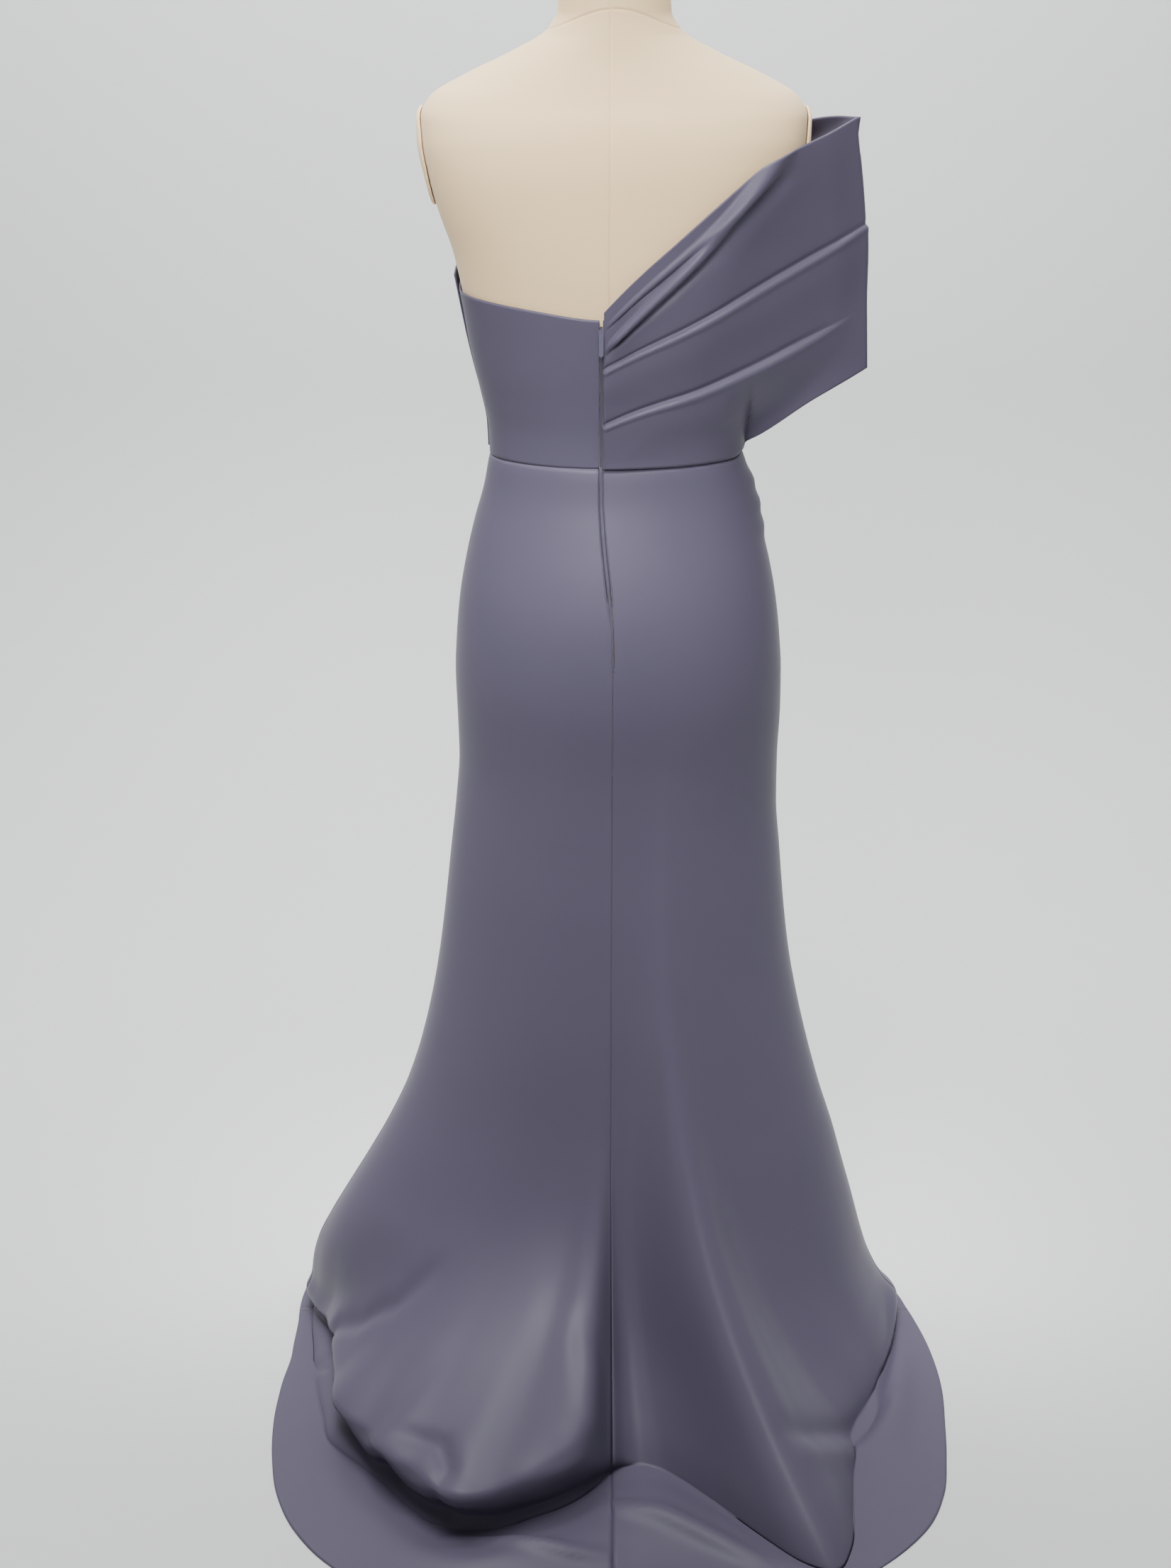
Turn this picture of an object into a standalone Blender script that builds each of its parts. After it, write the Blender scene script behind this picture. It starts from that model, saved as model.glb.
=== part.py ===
"""A one-shoulder trumpet dress with a short train, worn by a limbless dress form on a pole and a round base.

Metres, +Z up. The origin is on the floor under the middle of the base. The dress faces -Y and its
train lies towards +Y. The wearer's left is +X, and the pleated shoulder drape is on the right, at -X.
A turn is an angle about the upright axis, from the centre back (0) through the wearer's left
(90 degrees) to the centre front (180 degrees).
"""

from math import cos, exp, pi, radians, sin, sqrt, tau

import bmesh
import bpy
import numpy as np
from mathutils import Vector

# Cloth and the gaps between the pieces
CLOTH = 0.002
SEAM_GAP = 0.0003
FORM_GAP = 0.0012
DRAPE_GAP = 0.0019
DRAPE_EASE = 0.0022
BUST_EASE = 0.0030

# Heights of the garment
WAIST = 1.020
ZIP_TOP = 1.160
ZIP_END = 0.808
NECK_BACK = 1.166
NECK_SIDE = 1.181
NECK_BUST = 1.222
ZIP_HALF = 0.0016
ZIP_LEAN = 0.012
SLIDER_HALF = (0.0024, 0.0010, 0.0050)
SLIDER_OUT = 0.0019
TAB_HALF = (0.0022, 0.0006, 0.0115)
TAB_OUT = 0.0043
TAB_EAR = 0.0007
CHAIN_THICK = 0.0012
SLIDER_BELOW_TOP = 0.006
SLAB_CORNER = 0.7

# The stand under the form, and the cap over its neck. The profiles are rows of (radius, height).
FORM_BOTTOM = 0.700
NECK_TOP = 1.500
POLE_RADIUS = 0.016
POLE_FOOT = 0.048
SOCKET_DEEP = 0.060
BASE_PROFILE = ((0.190, 0.0), (0.190, 0.0108), (0.184, 0.018), (0.034, 0.022), (0.030, POLE_FOOT))
SOCKET_PROFILE = ((0.024, 0.0), (0.026, 0.004), (0.026, 0.048), (0.052, 0.052), (0.052, SOCKET_DEEP))
CAP_PROFILE = ((0.046, 0.0), (0.0475, 0.002), (0.0475, 0.008), (0.044, 0.011))

# The oval plates over the armholes of the form
PLATE_HEIGHT = 1.306
PLATE_DEEP = 0.030
PLATE_TALL = 0.046
PLATE_THICK = 0.0030
PLATE_EDGE = 0.0012
PLATE_ROUND = 0.95
PLATE_GAP = 0.0013

# Turns of the columns of points: every 5 degrees behind, every 10 in front
BACK_LEFT = [radians(5 * step) for step in range(19)]
BACK_RIGHT = [radians(5 * step - 90) for step in range(19)]
FRONT = [radians(10 * step + 90) for step in range(19)]

# Sections of the form: height, half width, reach to the front and to the back, squareness
FORM_COLUMNS = ("height", "side", "front", "back", "square")
FORM = (
    (0.700, 0.122, 0.078, 0.080, 2.1),
    (0.708, 0.137, 0.089, 0.092, 2.1),
    (0.722, 0.146, 0.096, 0.101, 2.1),
    (0.750, 0.152, 0.100, 0.110, 2.1),
    (0.790, 0.155, 0.103, 0.120, 2.1),
    (0.830, 0.154, 0.106, 0.124, 2.1),
    (0.870, 0.150, 0.108, 0.120, 2.1),
    (0.910, 0.143, 0.107, 0.111, 2.1),
    (0.950, 0.133, 0.103, 0.099, 2.1),
    (0.985, 0.1245, 0.098, 0.088, 2.1),
    (1.020, 0.1200, 0.094, 0.0815, 2.1),
    (1.045, 0.1210, 0.094, 0.0810, 2.1),
    (1.075, 0.1265, 0.096, 0.0835, 2.15),
    (1.105, 0.1335, 0.099, 0.0880, 2.2),
    (1.135, 0.1395, 0.102, 0.0925, 2.2),
    (1.160, 0.1435, 0.105, 0.0960, 2.25),
    (1.185, 0.1480, 0.107, 0.0990, 2.3),
    (1.220, 0.1560, 0.106, 0.1020, 2.4),
    (1.255, 0.1680, 0.102, 0.1030, 2.5),
    (1.290, 0.1775, 0.096, 0.1020, 2.6),
    (1.320, 0.1830, 0.087, 0.0970, 2.6),
    (1.342, 0.1835, 0.077, 0.0890, 2.5),
    (1.360, 0.1750, 0.068, 0.0790, 2.4),
    (1.380, 0.1420, 0.060, 0.0690, 2.2),
    (1.400, 0.0990, 0.054, 0.0600, 2.1),
    (1.420, 0.0640, 0.050, 0.0540, 2.0),
    (1.438, 0.0535, 0.048, 0.0500, 2.0),
    (1.470, 0.0520, 0.047, 0.0480, 2.0),
    (1.500, 0.0520, 0.047, 0.0480, 2.0),
)
BUST_HEIGHT = 1.180
BUST_TURN = radians(143)
BUST_REACH = 0.030
BUST_WIDE = radians(18)
BUST_TALL = 0.042

# Sections of the hanging skirt: height, reach to the left, right, front and back
SKIRT_COLUMNS = ("height", "left", "right", "front", "back")
SKIRT = (
    (1.020, 0.1210, 0.1290, 0.0955, 0.0840),
    (0.985, 0.1275, 0.1380, 0.1010, 0.0920),
    (0.950, 0.1375, 0.1470, 0.1060, 0.1040),
    (0.910, 0.1470, 0.1580, 0.1100, 0.1170),
    (0.870, 0.1540, 0.1660, 0.1110, 0.1260),
    (0.830, 0.1580, 0.1710, 0.1100, 0.1295),
    (0.790, 0.1600, 0.1740, 0.1080, 0.1280),
    (0.750, 0.1590, 0.1745, 0.1060, 0.1225),
    (0.700, 0.1580, 0.1730, 0.1050, 0.1150),
    (0.650, 0.1620, 0.1735, 0.1050, 0.1105),
    (0.590, 0.1690, 0.1790, 0.1070, 0.1085),
    (0.530, 0.1760, 0.1850, 0.1100, 0.1085),
    (0.470, 0.1840, 0.1930, 0.1150, 0.1095),
    (0.410, 0.1950, 0.2050, 0.1220, 0.1120),
    (0.350, 0.2100, 0.2200, 0.1310, 0.1160),
    (0.295, 0.2290, 0.2360, 0.1420, 0.1215),
    (0.245, 0.2510, 0.2520, 0.1540, 0.1285),
    (0.195, 0.2770, 0.2660, 0.1680, 0.1385),
    (0.150, 0.3020, 0.2790, 0.1830, 0.1520),
    (0.110, 0.3240, 0.2900, 0.1980, 0.1700),
    (0.075, 0.3410, 0.3010, 0.2120, 0.1930),
    (0.045, 0.3500, 0.3140, 0.2240, 0.2200),
    (0.020, 0.3540, 0.3280, 0.2330, 0.2460),
    (0.000, 0.3560, 0.3380, 0.2400, 0.2650),
)
SKIRT_SQUARE = 2.1

# Where the hanging cloth meets the floor, flute by flute: turn in degrees, reach
TOUCH_COLUMNS = ("turn", "reach")
TOUCH = (
    (-180, 0.236), (-168, 0.246), (-157, 0.275), (-148, 0.286), (-138, 0.278), (-126, 0.288),
    (-114, 0.293), (-102, 0.296), (-90, 0.304), (-80, 0.316), (-68, 0.324), (-57, 0.332),
    (-48, 0.352), (-41, 0.386), (-35, 0.430), (-30, 0.476), (-26.5, 0.496), (-24, 0.476),
    (-21, 0.420), (-18, 0.366), (-14, 0.318), (-10, 0.290), (-6, 0.281),
    (-3, 0.282), (0, 0.292), (3, 0.314), (8, 0.347), (13, 0.374), (18, 0.404), (24, 0.418),
    (31, 0.405), (37, 0.391), (44, 0.386), (50, 0.384), (58, 0.364), (68, 0.342), (80, 0.322),
    (95, 0.316), (110, 0.312), (122, 0.302), (134, 0.298), (145, 0.288), (153, 0.278),
    (162, 0.252), (172, 0.236), (180, 0.236),
)

# How high the flutes swell above the floor: turn in degrees, height
RISE_COLUMNS = ("turn", "height")
RISE = (
    (-180, 0.26), (-100, 0.24), (-60, 0.22), (-45, 0.21), (-27, 0.20), (-14, 0.17), (-6, 0.13),
    (2, 0.11), (12, 0.09), (60, 0.09), (85, 0.14), (110, 0.22), (180, 0.26),
)
RISE_BEND = 1.25

# How high the cloth stands up from the floor where it breaks over it: turn in degrees, height
BREAK_COLUMNS = ("turn", "height")
BREAK = (
    (-180, 0.0), (-104, 0.0), (-96, 0.012), (-89, 0.024), (-75, 0.010), (-50, 0.0), (-5, 0.0),
    (0, 0.020), (4, 0.046), (8, 0.056), (14, 0.050), (22, 0.060), (30, 0.045), (36, 0.062),
    (41, 0.040), (48, 0.060), (58, 0.048), (70, 0.056), (84, 0.034), (92, 0.032), (97, 0.022),
    (108, 0.0), (180, 0.0),
)
BREAK_FADES = 0.30
LIP_OUT = 0.24

# The hem, flat on the floor: turn in degrees, reach
HEM_COLUMNS = ("turn", "reach")
HEM = (
    (-180, 0.262), (-165, 0.275), (-150, 0.306), (-130, 0.318), (-115, 0.328), (-98.7, 0.337),
    (-87.7, 0.352), (-77, 0.373), (-68, 0.395), (-59.7, 0.418), (-52.7, 0.445), (-46.4, 0.474),
    (-39.8, 0.497), (-31, 0.512), (-20, 0.524), (-10, 0.530), (0, 0.532), (10, 0.534),
    (22, 0.530), (33, 0.517), (40, 0.500), (46.6, 0.476), (53, 0.448), (60, 0.420), (68, 0.392),
    (77, 0.368), (88, 0.359), (99, 0.360), (115, 0.348), (130, 0.328), (150, 0.304), (165, 0.276),
    (180, 0.262),
)
TRAIN_STEPS = (0.16, 0.34, 0.55, 0.77, 1.0)
LEAST_TRAIN = 0.026

# Low folds lying in the train: turn at their middle, how wide, share of the way out, how wide, height
TRAIN_COLUMNS = ("turn", "wide", "out", "deep", "height")
TRAIN_FOLDS = (
    (radians(12), radians(12), 0.42, 0.20, 0.012),
    (radians(-8), radians(9), 0.36, 0.22, 0.014),
    (radians(-62), radians(14), 0.30, 0.25, 0.008),
)

# Tucks of the skirt front, which fan out from the right side seam below the waist
TUCK_COLUMNS = ("at_seam", "at_left", "height")
TUCKS = (
    (0.990, 0.930, 0.0045),
    (0.968, 0.840, 0.0055),
    (0.946, 0.740, 0.0040),
)
TUCK_WIDE = 0.011

# Lines along the shoulder drape, from the zip round the outer fold to the left side seam. Each
# has its share of the drape's depth, then (distance to the right, height) at seven places behind
# and at eight in front.
DRAPE_STOPS = (0.0, 0.18, 0.36, 0.54, 0.68, 0.84, 1.0)
TOP_EDGE, FIRST_PLEAT, SECOND_PLEAT, LOWER_EDGE = 0.0, 0.42, 0.72, 1.0
DRAPE_BACK = (
    (TOP_EDGE, ((0.0022, 1.174), (0.047, 1.225), (0.100, 1.275), (0.146, 1.310),
                (0.176, 1.321), (0.205, 1.331), (0.230, 1.341))),
    (FIRST_PLEAT, ((0.0022, 1.119), (0.040, 1.142), (0.090, 1.168), (0.140, 1.194),
                   (0.180, 1.213), (0.216, 1.229), (0.2425, 1.241))),
    (SECOND_PLEAT, ((0.0022, 1.064), (0.040, 1.082), (0.088, 1.098), (0.136, 1.116),
                    (0.176, 1.133), (0.216, 1.150), (0.247, 1.164))),
    (LOWER_EDGE, ((0.0022, 1.0206), (0.040, 1.0206), (0.082, 1.0206), (0.116, 1.0206),
                  (0.142, 1.034), (0.196, 1.074), (0.250, 1.102))),
)
DRAPE_FRONT = (
    (TOP_EDGE, ((0.230, 1.341), (0.205, 1.338), (0.176, 1.332), (0.120, 1.312),
                (0.052, 1.284), (-0.022, 1.255), (-0.094, 1.222), (-0.1465, 1.190))),
    (FIRST_PLEAT, ((0.2425, 1.241), (0.216, 1.232), (0.176, 1.219), (0.120, 1.200),
                   (0.052, 1.177), (-0.022, 1.154), (-0.092, 1.136), (-0.1390, 1.124))),
    (SECOND_PLEAT, ((0.247, 1.164), (0.216, 1.151), (0.170, 1.134), (0.116, 1.116),
                    (0.050, 1.099), (-0.022, 1.085), (-0.088, 1.075), (-0.1310, 1.069))),
    (LOWER_EDGE, ((0.250, 1.102), (0.196, 1.074), (0.142, 1.034), (0.112, 1.0206),
                  (0.050, 1.0206), (-0.022, 1.0206), (-0.085, 1.0206), (-0.1240, 1.0206))),
)
DRAPE_ACROSS = (0.0, 0.10, 0.22, 0.32, 0.405, 0.425, 0.52, 0.62, 0.71, 0.73, 0.82, 0.91, 1.0)
PLEAT_REACH = 0.0045
NOSE = 0.034
APEX = 0.010
MOUTH = 0.020
HUG = 0.131
SIDE_TURN = 82.0
BODICE_ROWS = 9


def colour(name, rgb, rough, metal=0.0):
    """A plain material of the part's colour."""
    material = bpy.data.materials.new(name)
    material.use_nodes = True
    shader = material.node_tree.nodes["Principled BSDF"]
    shader.inputs["Base Color"].default_value = (*rgb, 1.0)
    shader.inputs["Roughness"].default_value = rough
    shader.inputs["Metallic"].default_value = metal
    return material


def smooth_step(value):
    value = min(1.0, max(0.0, value))
    return value * value * (3 - 2 * value)


def bell(distance, width):
    return exp(-((distance / width) ** 2))


def turned(turn, middle):
    """How far one turn is from another, the short way round."""
    return (turn - middle + pi) % tau - pi


def curve_through(places, values, at):
    """A smooth curve through the values, which never swings past them."""
    if places[0] > places[-1]:
        places, values = places[::-1], values[::-1]
    at = min(max(at, places[0]), places[-1])
    k = min(int(np.searchsorted(places, at, side="right")) - 1, len(places) - 2)

    def rise(i):
        return (values[i + 1] - values[i]) / (places[i + 1] - places[i])

    def slope(i):
        if i == 0 or i == len(places) - 1:
            return rise(0) if i == 0 else rise(i - 1)
        before, after = rise(i - 1), rise(i)
        return 0.0 if before * after <= 0 else 2 * before * after / (before + after)

    step = places[k + 1] - places[k]
    t = (at - places[k]) / step
    return (
        values[k] * (1 + 2 * t) * (1 - t) ** 2
        + slope(k) * step * t * (1 - t) ** 2
        + values[k + 1] * t * t * (3 - 2 * t)
        + slope(k + 1) * step * t * t * (t - 1)
    )


def column(table, names, name, at):
    """One named column of a table, read at a height."""
    places = [row[0] for row in table]
    return curve_through(places, [row[names.index(name)] for row in table], at)


def reach_of(turn, side, depth, square):
    """How far an oval section reaches from the upright axis at a turn."""
    across = abs(sin(turn) / side) ** square
    along = abs(cos(turn) / depth) ** square
    return (across + along) ** (-1 / square)


def form_reach(turn, height):
    """How far the dress form reaches from its axis."""
    side = column(FORM, FORM_COLUMNS, "side", height)
    depth = column(FORM, FORM_COLUMNS, "back" if cos(turn) > 0 else "front", height)
    square = column(FORM, FORM_COLUMNS, "square", height)
    bust = sum(bell(turned(turn, side_turn), BUST_WIDE) for side_turn in (BUST_TURN, -BUST_TURN))
    tall = BUST_TALL * (1.0 if height < BUST_HEIGHT else 1.25)
    mound = BUST_REACH * bust * bell(height - BUST_HEIGHT, tall)
    return reach_of(turn, side, depth, square) + mound


def fitted_reach(turn, height):
    """How far the inside of the fitted foundation reaches: close to the form, easier at the bust."""
    ease = BUST_EASE * bell(height - BUST_HEIGHT, 1.5 * BUST_TALL) * smooth_step(-cos(turn) / 0.4)
    return form_reach(turn, height) + FORM_GAP + ease


def at_turn(turn, reach, height):
    return Vector((reach * sin(turn), reach * cos(turn), height))


def zip_side(height):
    """How far the centre-back line leans to the left."""
    return ZIP_LEAN * smooth_step((height - 0.84) / 0.16)


def leaning(turn, height, reach):
    """The turn of a column, which follows the centre-back line where it leans."""
    return turn + zip_side(height) / reach * bell(turn, radians(38))


def skirt_oval(turn, height):
    side = column(SKIRT, SKIRT_COLUMNS, "left" if sin(turn) > 0 else "right", height)
    depth = column(SKIRT, SKIRT_COLUMNS, "back" if cos(turn) > 0 else "front", height)
    return reach_of(turn, side, depth, SKIRT_SQUARE)


def skirt_reach(turn, height):
    """How far the inside of the hanging skirt reaches from the axis."""
    degrees = turned(turn, 0.0) * 180 / pi
    lifted = column(BREAK, BREAK_COLUMNS, "height", degrees)
    level = height
    if height < BREAK_FADES:
        level = max(0.0, height - lifted) / (1 - lifted / BREAK_FADES)
    touch = column(TOUCH, TOUCH_COLUMNS, "reach", degrees)
    swell = exp(-((level / column(RISE, RISE_COLUMNS, "height", degrees)) ** RISE_BEND))
    reach = skirt_oval(turn, level) + (touch - skirt_oval(turn, 0.0)) * swell
    if lifted > 0:
        reach += LIP_OUT * lifted * bell(height - 0.8 * lifted, 0.45 * lifted)
    for at_seam, at_left, tuck in TUCKS:
        along = turned(turn, radians(-90))
        along = -along if along < 0 else 0.0
        line = at_seam + (at_left - at_seam) * along / radians(150)
        fade = smooth_step(1.15 - along / radians(120)) if along > 0 else bell(turn + pi / 2, 0.2)
        reach += tuck * fade * bell(height - line, TUCK_WIDE)
    return reach


def hanging(turn, height):
    """A point inside the hanging skirt."""
    turn = leaning(turn, height, skirt_reach(turn, height))
    return at_turn(turn, skirt_reach(turn, height), height)


def hem_reach(turn):
    return column(HEM, HEM_COLUMNS, "reach", turned(turn, 0.0) * 180 / pi)


def lying(turn, share):
    """A point under the train, from where the skirt meets the floor (0) to the hem (1)."""
    inner = hanging(turn, 0.0).to_2d().length
    outer = max(hem_reach(turn), inner + LEAST_TRAIN)
    rise = 0.0
    for middle, wide, out, deep, height in TRAIN_FOLDS:
        rise += height * bell(turned(turn, middle), wide) * bell(share - out, deep)
    rise *= smooth_step(share / 0.2) * smooth_step((1 - share) / 0.25)
    return at_turn(turn, inner + (outer - inner) * share, rise)


def wall(name, inner, material, relief=None, seams=()):
    """A cloth wall over a grid of its inner points, with what is raised added to its outer points.

    A wall with seams starts level at the waist, and its side edges stand square to the seams at
    those turns, so that it meets its neighbours edge to edge.
    """
    rows, columns = len(inner), len(inner[0])
    falls = inner[-1][0].z < inner[0][0].z
    mesh = bmesh.new()
    skins = []
    for thick in (0.0, CLOTH):
        skin = []
        for i in range(rows):
            line = []
            for j in range(columns):
                down = inner[min(i + 1, rows - 1)][j] - inner[max(i - 1, 0)][j]
                across = inner[i][min(j + 1, columns - 1)] - inner[i][max(j - 1, 0)]
                raised = relief(i, j) if relief and thick else 0.0
                outwards = down.cross(across) * (-1 if falls else 1)
                if seams and i == 0:
                    outwards.z = 0.0
                if seams and j in (0, columns - 1):
                    turn = seams[0] if j == 0 else seams[1]
                    along = Vector((cos(turn), -sin(turn), 0.0))
                    outwards -= along * outwards.dot(along)
                outwards.normalize()
                line.append(mesh.verts.new(inner[i][j] + outwards * (thick + raised)))
            skin.append(line)
        skins.append(skin)
    inside, outside = skins
    for i in range(rows - 1):
        for j in range(columns - 1):
            corners = ((i, j), (i, j + 1), (i + 1, j + 1), (i + 1, j))
            mesh.faces.new([outside[a][b] for a, b in corners[::-1]])
            mesh.faces.new([inside[a][b] for a, b in corners])
    rim = [(0, j) for j in range(columns)]
    rim += [(i, columns - 1) for i in range(1, rows)]
    rim += [(rows - 1, j) for j in range(columns - 2, -1, -1)]
    rim += [(i, 0) for i in range(rows - 2, 0, -1)]
    for (a, b), (c, d) in zip(rim, rim[1:] + rim[:1]):
        mesh.faces.new([inside[a][b], outside[a][b], outside[c][d], inside[c][d]][::-1])
    bmesh.ops.recalc_face_normals(mesh, faces=mesh.faces)
    return finished(name, mesh, material)


def finished(name, mesh, material, smooth=True):
    """The object of a finished mesh, with its faces in triangles."""
    bmesh.ops.triangulate(mesh, faces=mesh.faces)
    data = bpy.data.meshes.new(name)
    mesh.to_mesh(data)
    mesh.free()
    if smooth:
        data.shade_smooth()
        data.set_sharp_from_angle(angle=radians(40))
    data.materials.append(material)
    made = bpy.data.objects.new(name, data)
    bpy.context.scene.collection.objects.link(made)
    return made


def edge_shift(turn, height):
    """How far a panel's edge stands back from the seam line at that turn, sideways."""
    if abs(turn) < 1e-6 and height > ZIP_END:
        return ZIP_HALF
    return SEAM_GAP / 2


def panel_points(turns, rows, point, closes):
    """A grid of a panel's inner points, whose two side edges stand back from their seams."""
    grid = []
    for row in rows:
        line = [point(turn, row) for turn in turns]
        for edge, beside, turn in ((0, 1, turns[0]), (-1, -2, turns[-1])):
            inwards = (line[beside] - line[edge]).normalized()
            line[edge] = line[edge] + inwards * closes(turn, line[edge].z)
        grid.append(line)
    return grid


def skirt_panels(cloth):
    heights = [row[0] for row in SKIRT]
    heights[0] = WAIST - SEAM_GAP / 2
    rows = [("hangs", height) for height in heights]
    rows += [("lies", share) for share in TRAIN_STEPS]

    def point(turn, row):
        how, value = row
        return hanging(turn, value) if how == "hangs" else lying(turn, value)

    for name, turns in (
        ("skirt_back_left", BACK_LEFT),
        ("skirt_back_right", BACK_RIGHT),
        ("skirt_front", FRONT),
    ):
        grid = panel_points(turns, rows, point, edge_shift)
        wall(name, grid, cloth, seams=(turns[0], turns[-1]))


def neckline(turn):
    """The height of the foundation's top edge."""
    from_back = abs(turned(turn, 0.0))
    if from_back < pi / 2:
        return NECK_BACK + (NECK_SIDE - NECK_BACK) * sin(from_back) ** 1.5
    bust = bell(from_back - BUST_TURN, radians(30)) + bell(from_back - pi, radians(20)) * 0.7
    return NECK_SIDE + (NECK_BUST - NECK_SIDE) * min(1.0, bust)


def bodice_panels(cloth):
    """The fitted foundation: a front and two backs, closed behind by the zip."""
    start = WAIST + SEAM_GAP / 2

    def point(turn, share):
        height = start + (neckline(turn) - start) * share
        turn = leaning(turn, height, form_reach(turn, height))
        return at_turn(turn, fitted_reach(turn, height), height)

    rows = [k / BODICE_ROWS for k in range(BODICE_ROWS + 1)]

    for name, turns in (
        ("bodice_back_left", BACK_LEFT),
        ("bodice_back_right", BACK_RIGHT),
        ("bodice_front", FRONT),
    ):
        grid = panel_points(turns, rows, point, edge_shift)
        wall(name, grid, cloth, seams=(turns[0], turns[-1]))


def body_depth(right, height, forward, gap):
    """How far out the covered form lies, behind or in front, at a distance to the right."""
    turns = [radians(step) for step in range(0, 91, 3)]
    if forward:
        turns = [pi - turn for turn in turns]
    way = -1 if right >= 0 else 1
    best = []
    for turn in turns:
        reach = fitted_reach(way * turn, height) + gap
        best.append((abs(reach * sin(turn)), abs(reach * cos(turn))))
    places = [place for place, depth in best]
    return float(np.interp(abs(right), places, [depth for place, depth in best]))


def taut_slope(height, fold, forward, gap):
    """The slope of the cloth from the outer fold to where it first lies on the body."""
    slopes = []
    for step in range(16):
        right = 0.012 * step
        slopes.append((body_depth(right, height, forward, gap) / (fold - right), right))
    return max(slopes)


def drape_line(table, share, stop, stops):
    """(distance to the right, height) on the drape at a share of its depth and a stop along it."""
    shares = [row[0] for row in table]
    rights = [curve_through(stops, [place[0] for place in row[1]], stop) for row in table]
    heights = [curve_through(stops, [place[1] for place in row[1]], stop) for row in table]
    return curve_through(shares, rights, share), curve_through(shares, heights, share)


def drape_point(share, stop, forward):
    """A point inside the shoulder drape."""
    if forward:
        stops = [k / 7 for k in range(8)]
        right, height = drape_line(DRAPE_FRONT, share, stop, stops)
        fold = drape_line(DRAPE_FRONT, share, 0.0, stops)[0]
        from_zip, to_fold = 1.0, stop
    else:
        right, height = drape_line(DRAPE_BACK, share, stop, DRAPE_STOPS)
        fold = drape_line(DRAPE_BACK, share, 1.0, DRAPE_STOPS)[0]
        from_zip, to_fold = stop, 1 - stop
    sewn = min(smooth_step(from_zip / 0.25), smooth_step((1 - share) / 0.2))
    if forward:
        sewn = min(sewn, smooth_step((1 - to_fold) / 0.2))
    gap = CLOTH + DRAPE_GAP + DRAPE_EASE * sewn
    if forward:
        gap += 0.5 * BUST_EASE * bell(height - BUST_HEIGHT, 1.5 * BUST_TALL)
    if forward and right < 0:
        turn = pi - radians(SIDE_TURN) * right / drape_line(DRAPE_FRONT, share, 1.0, stops)[0]
        return at_turn(turn, fitted_reach(turn, height) + gap, height)
    slope, leaves = taut_slope(height, fold + APEX, forward, gap)
    if right > leaves:
        depth = slope * (fold + APEX - right)
    else:
        depth = body_depth(right, height, forward, gap)
    start = fold - NOSE
    if right > start:
        depth *= sqrt(max(0.0, 1 - min(1.0, (right - start) / NOSE) ** 2))
    loose = smooth_step((share - SECOND_PLEAT) / (1 - SECOND_PLEAT))
    if loose > 0 and right > 0:
        if right < HUG:
            round_body = sqrt(max(0.0, 1 - (right / HUG) ** 2))
            tight = body_depth(0.0, height, forward, gap) * round_body
            tight = max(tight, body_depth(right, height, forward, gap) if right < 0.11 else 0.0)
        else:
            tight = MOUTH * sin(pi * (right - HUG) / (fold - HUG + 1e-9))
        depth += (tight - depth) * loose
    lean = zip_side(height) * bell(right, 0.05) if not forward else 0.0
    return Vector((-right + lean, -depth if forward else depth, height))


def pleat_relief(share, stop, forward):
    """How far the pleats stand out: each opens upwards, so the cloth steps out just below its line."""
    if forward:
        from_fold, ends = stop / 0.3, smooth_step((1 - stop) / 0.12)
    else:
        from_fold, ends = (1 - stop) / 0.3, 1.0
    out = 0.0
    if share > FIRST_PLEAT:
        at_fold = 0.45 + 0.55 * smooth_step(from_fold)
        out = PLEAT_REACH * at_fold * smooth_step((SECOND_PLEAT - share) / 0.26)
    if share > SECOND_PLEAT:
        out = PLEAT_REACH * smooth_step(from_fold - 0.2) * smooth_step((1.0 - share) / 0.24)
    if share < FIRST_PLEAT:
        along = stop / 0.54 if not forward else (1 - stop) / 0.9
        ridge = 0.36 * (1 - smooth_step(along))
        near = smooth_step(along / 0.2) * smooth_step((1.25 - along) / 0.3)
        out = 0.006 * near * bell(share - ridge, 0.055)
    return out * ends


def shoulder_drape(cloth):
    """The pleated drape: from the zip across the back, round the arm and over the bust."""
    behind = [k / 18 for k in range(16)] + [0.87, 0.91, 0.945, 0.97, 0.988]
    before = [0.0, 0.012, 0.03, 0.055, 0.09] + [0.125 + 0.875 * k / 24 for k in range(25)]
    columns = [(stop, False) for stop in behind] + [(stop, True) for stop in before]
    grid = []
    for share in DRAPE_ACROSS:
        line = [drape_point(share, stop, forward) for stop, forward in columns]
        grid.append(line[::-1])
    columns.reverse()

    def relief(i, j):
        stop, forward = columns[j]
        return pleat_relief(DRAPE_ACROSS[i], stop, forward)

    wall("shoulder_drape", grid, cloth, relief)


def form_body(linen):
    """The padded torso of the dress form, closed at the neck and below the hips."""
    turns = BACK_LEFT[:-1] + FRONT[:-1] + [turn + tau for turn in BACK_RIGHT[:-1]]
    mesh = bmesh.new()
    rings = []
    for row in FORM:
        height = row[0]
        rings.append([mesh.verts.new(at_turn(t, form_reach(t, height), height)) for t in turns])
    for lower, upper in zip(rings, rings[1:]):
        for k in range(len(turns)):
            m = (k + 1) % len(turns)
            mesh.faces.new((lower[k], lower[m], upper[m], upper[k]))
    mesh.faces.new(rings[0][::-1])
    mesh.faces.new(rings[-1])
    bmesh.ops.recalc_face_normals(mesh, faces=mesh.faces)
    finished("form_body", mesh, linen)


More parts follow.
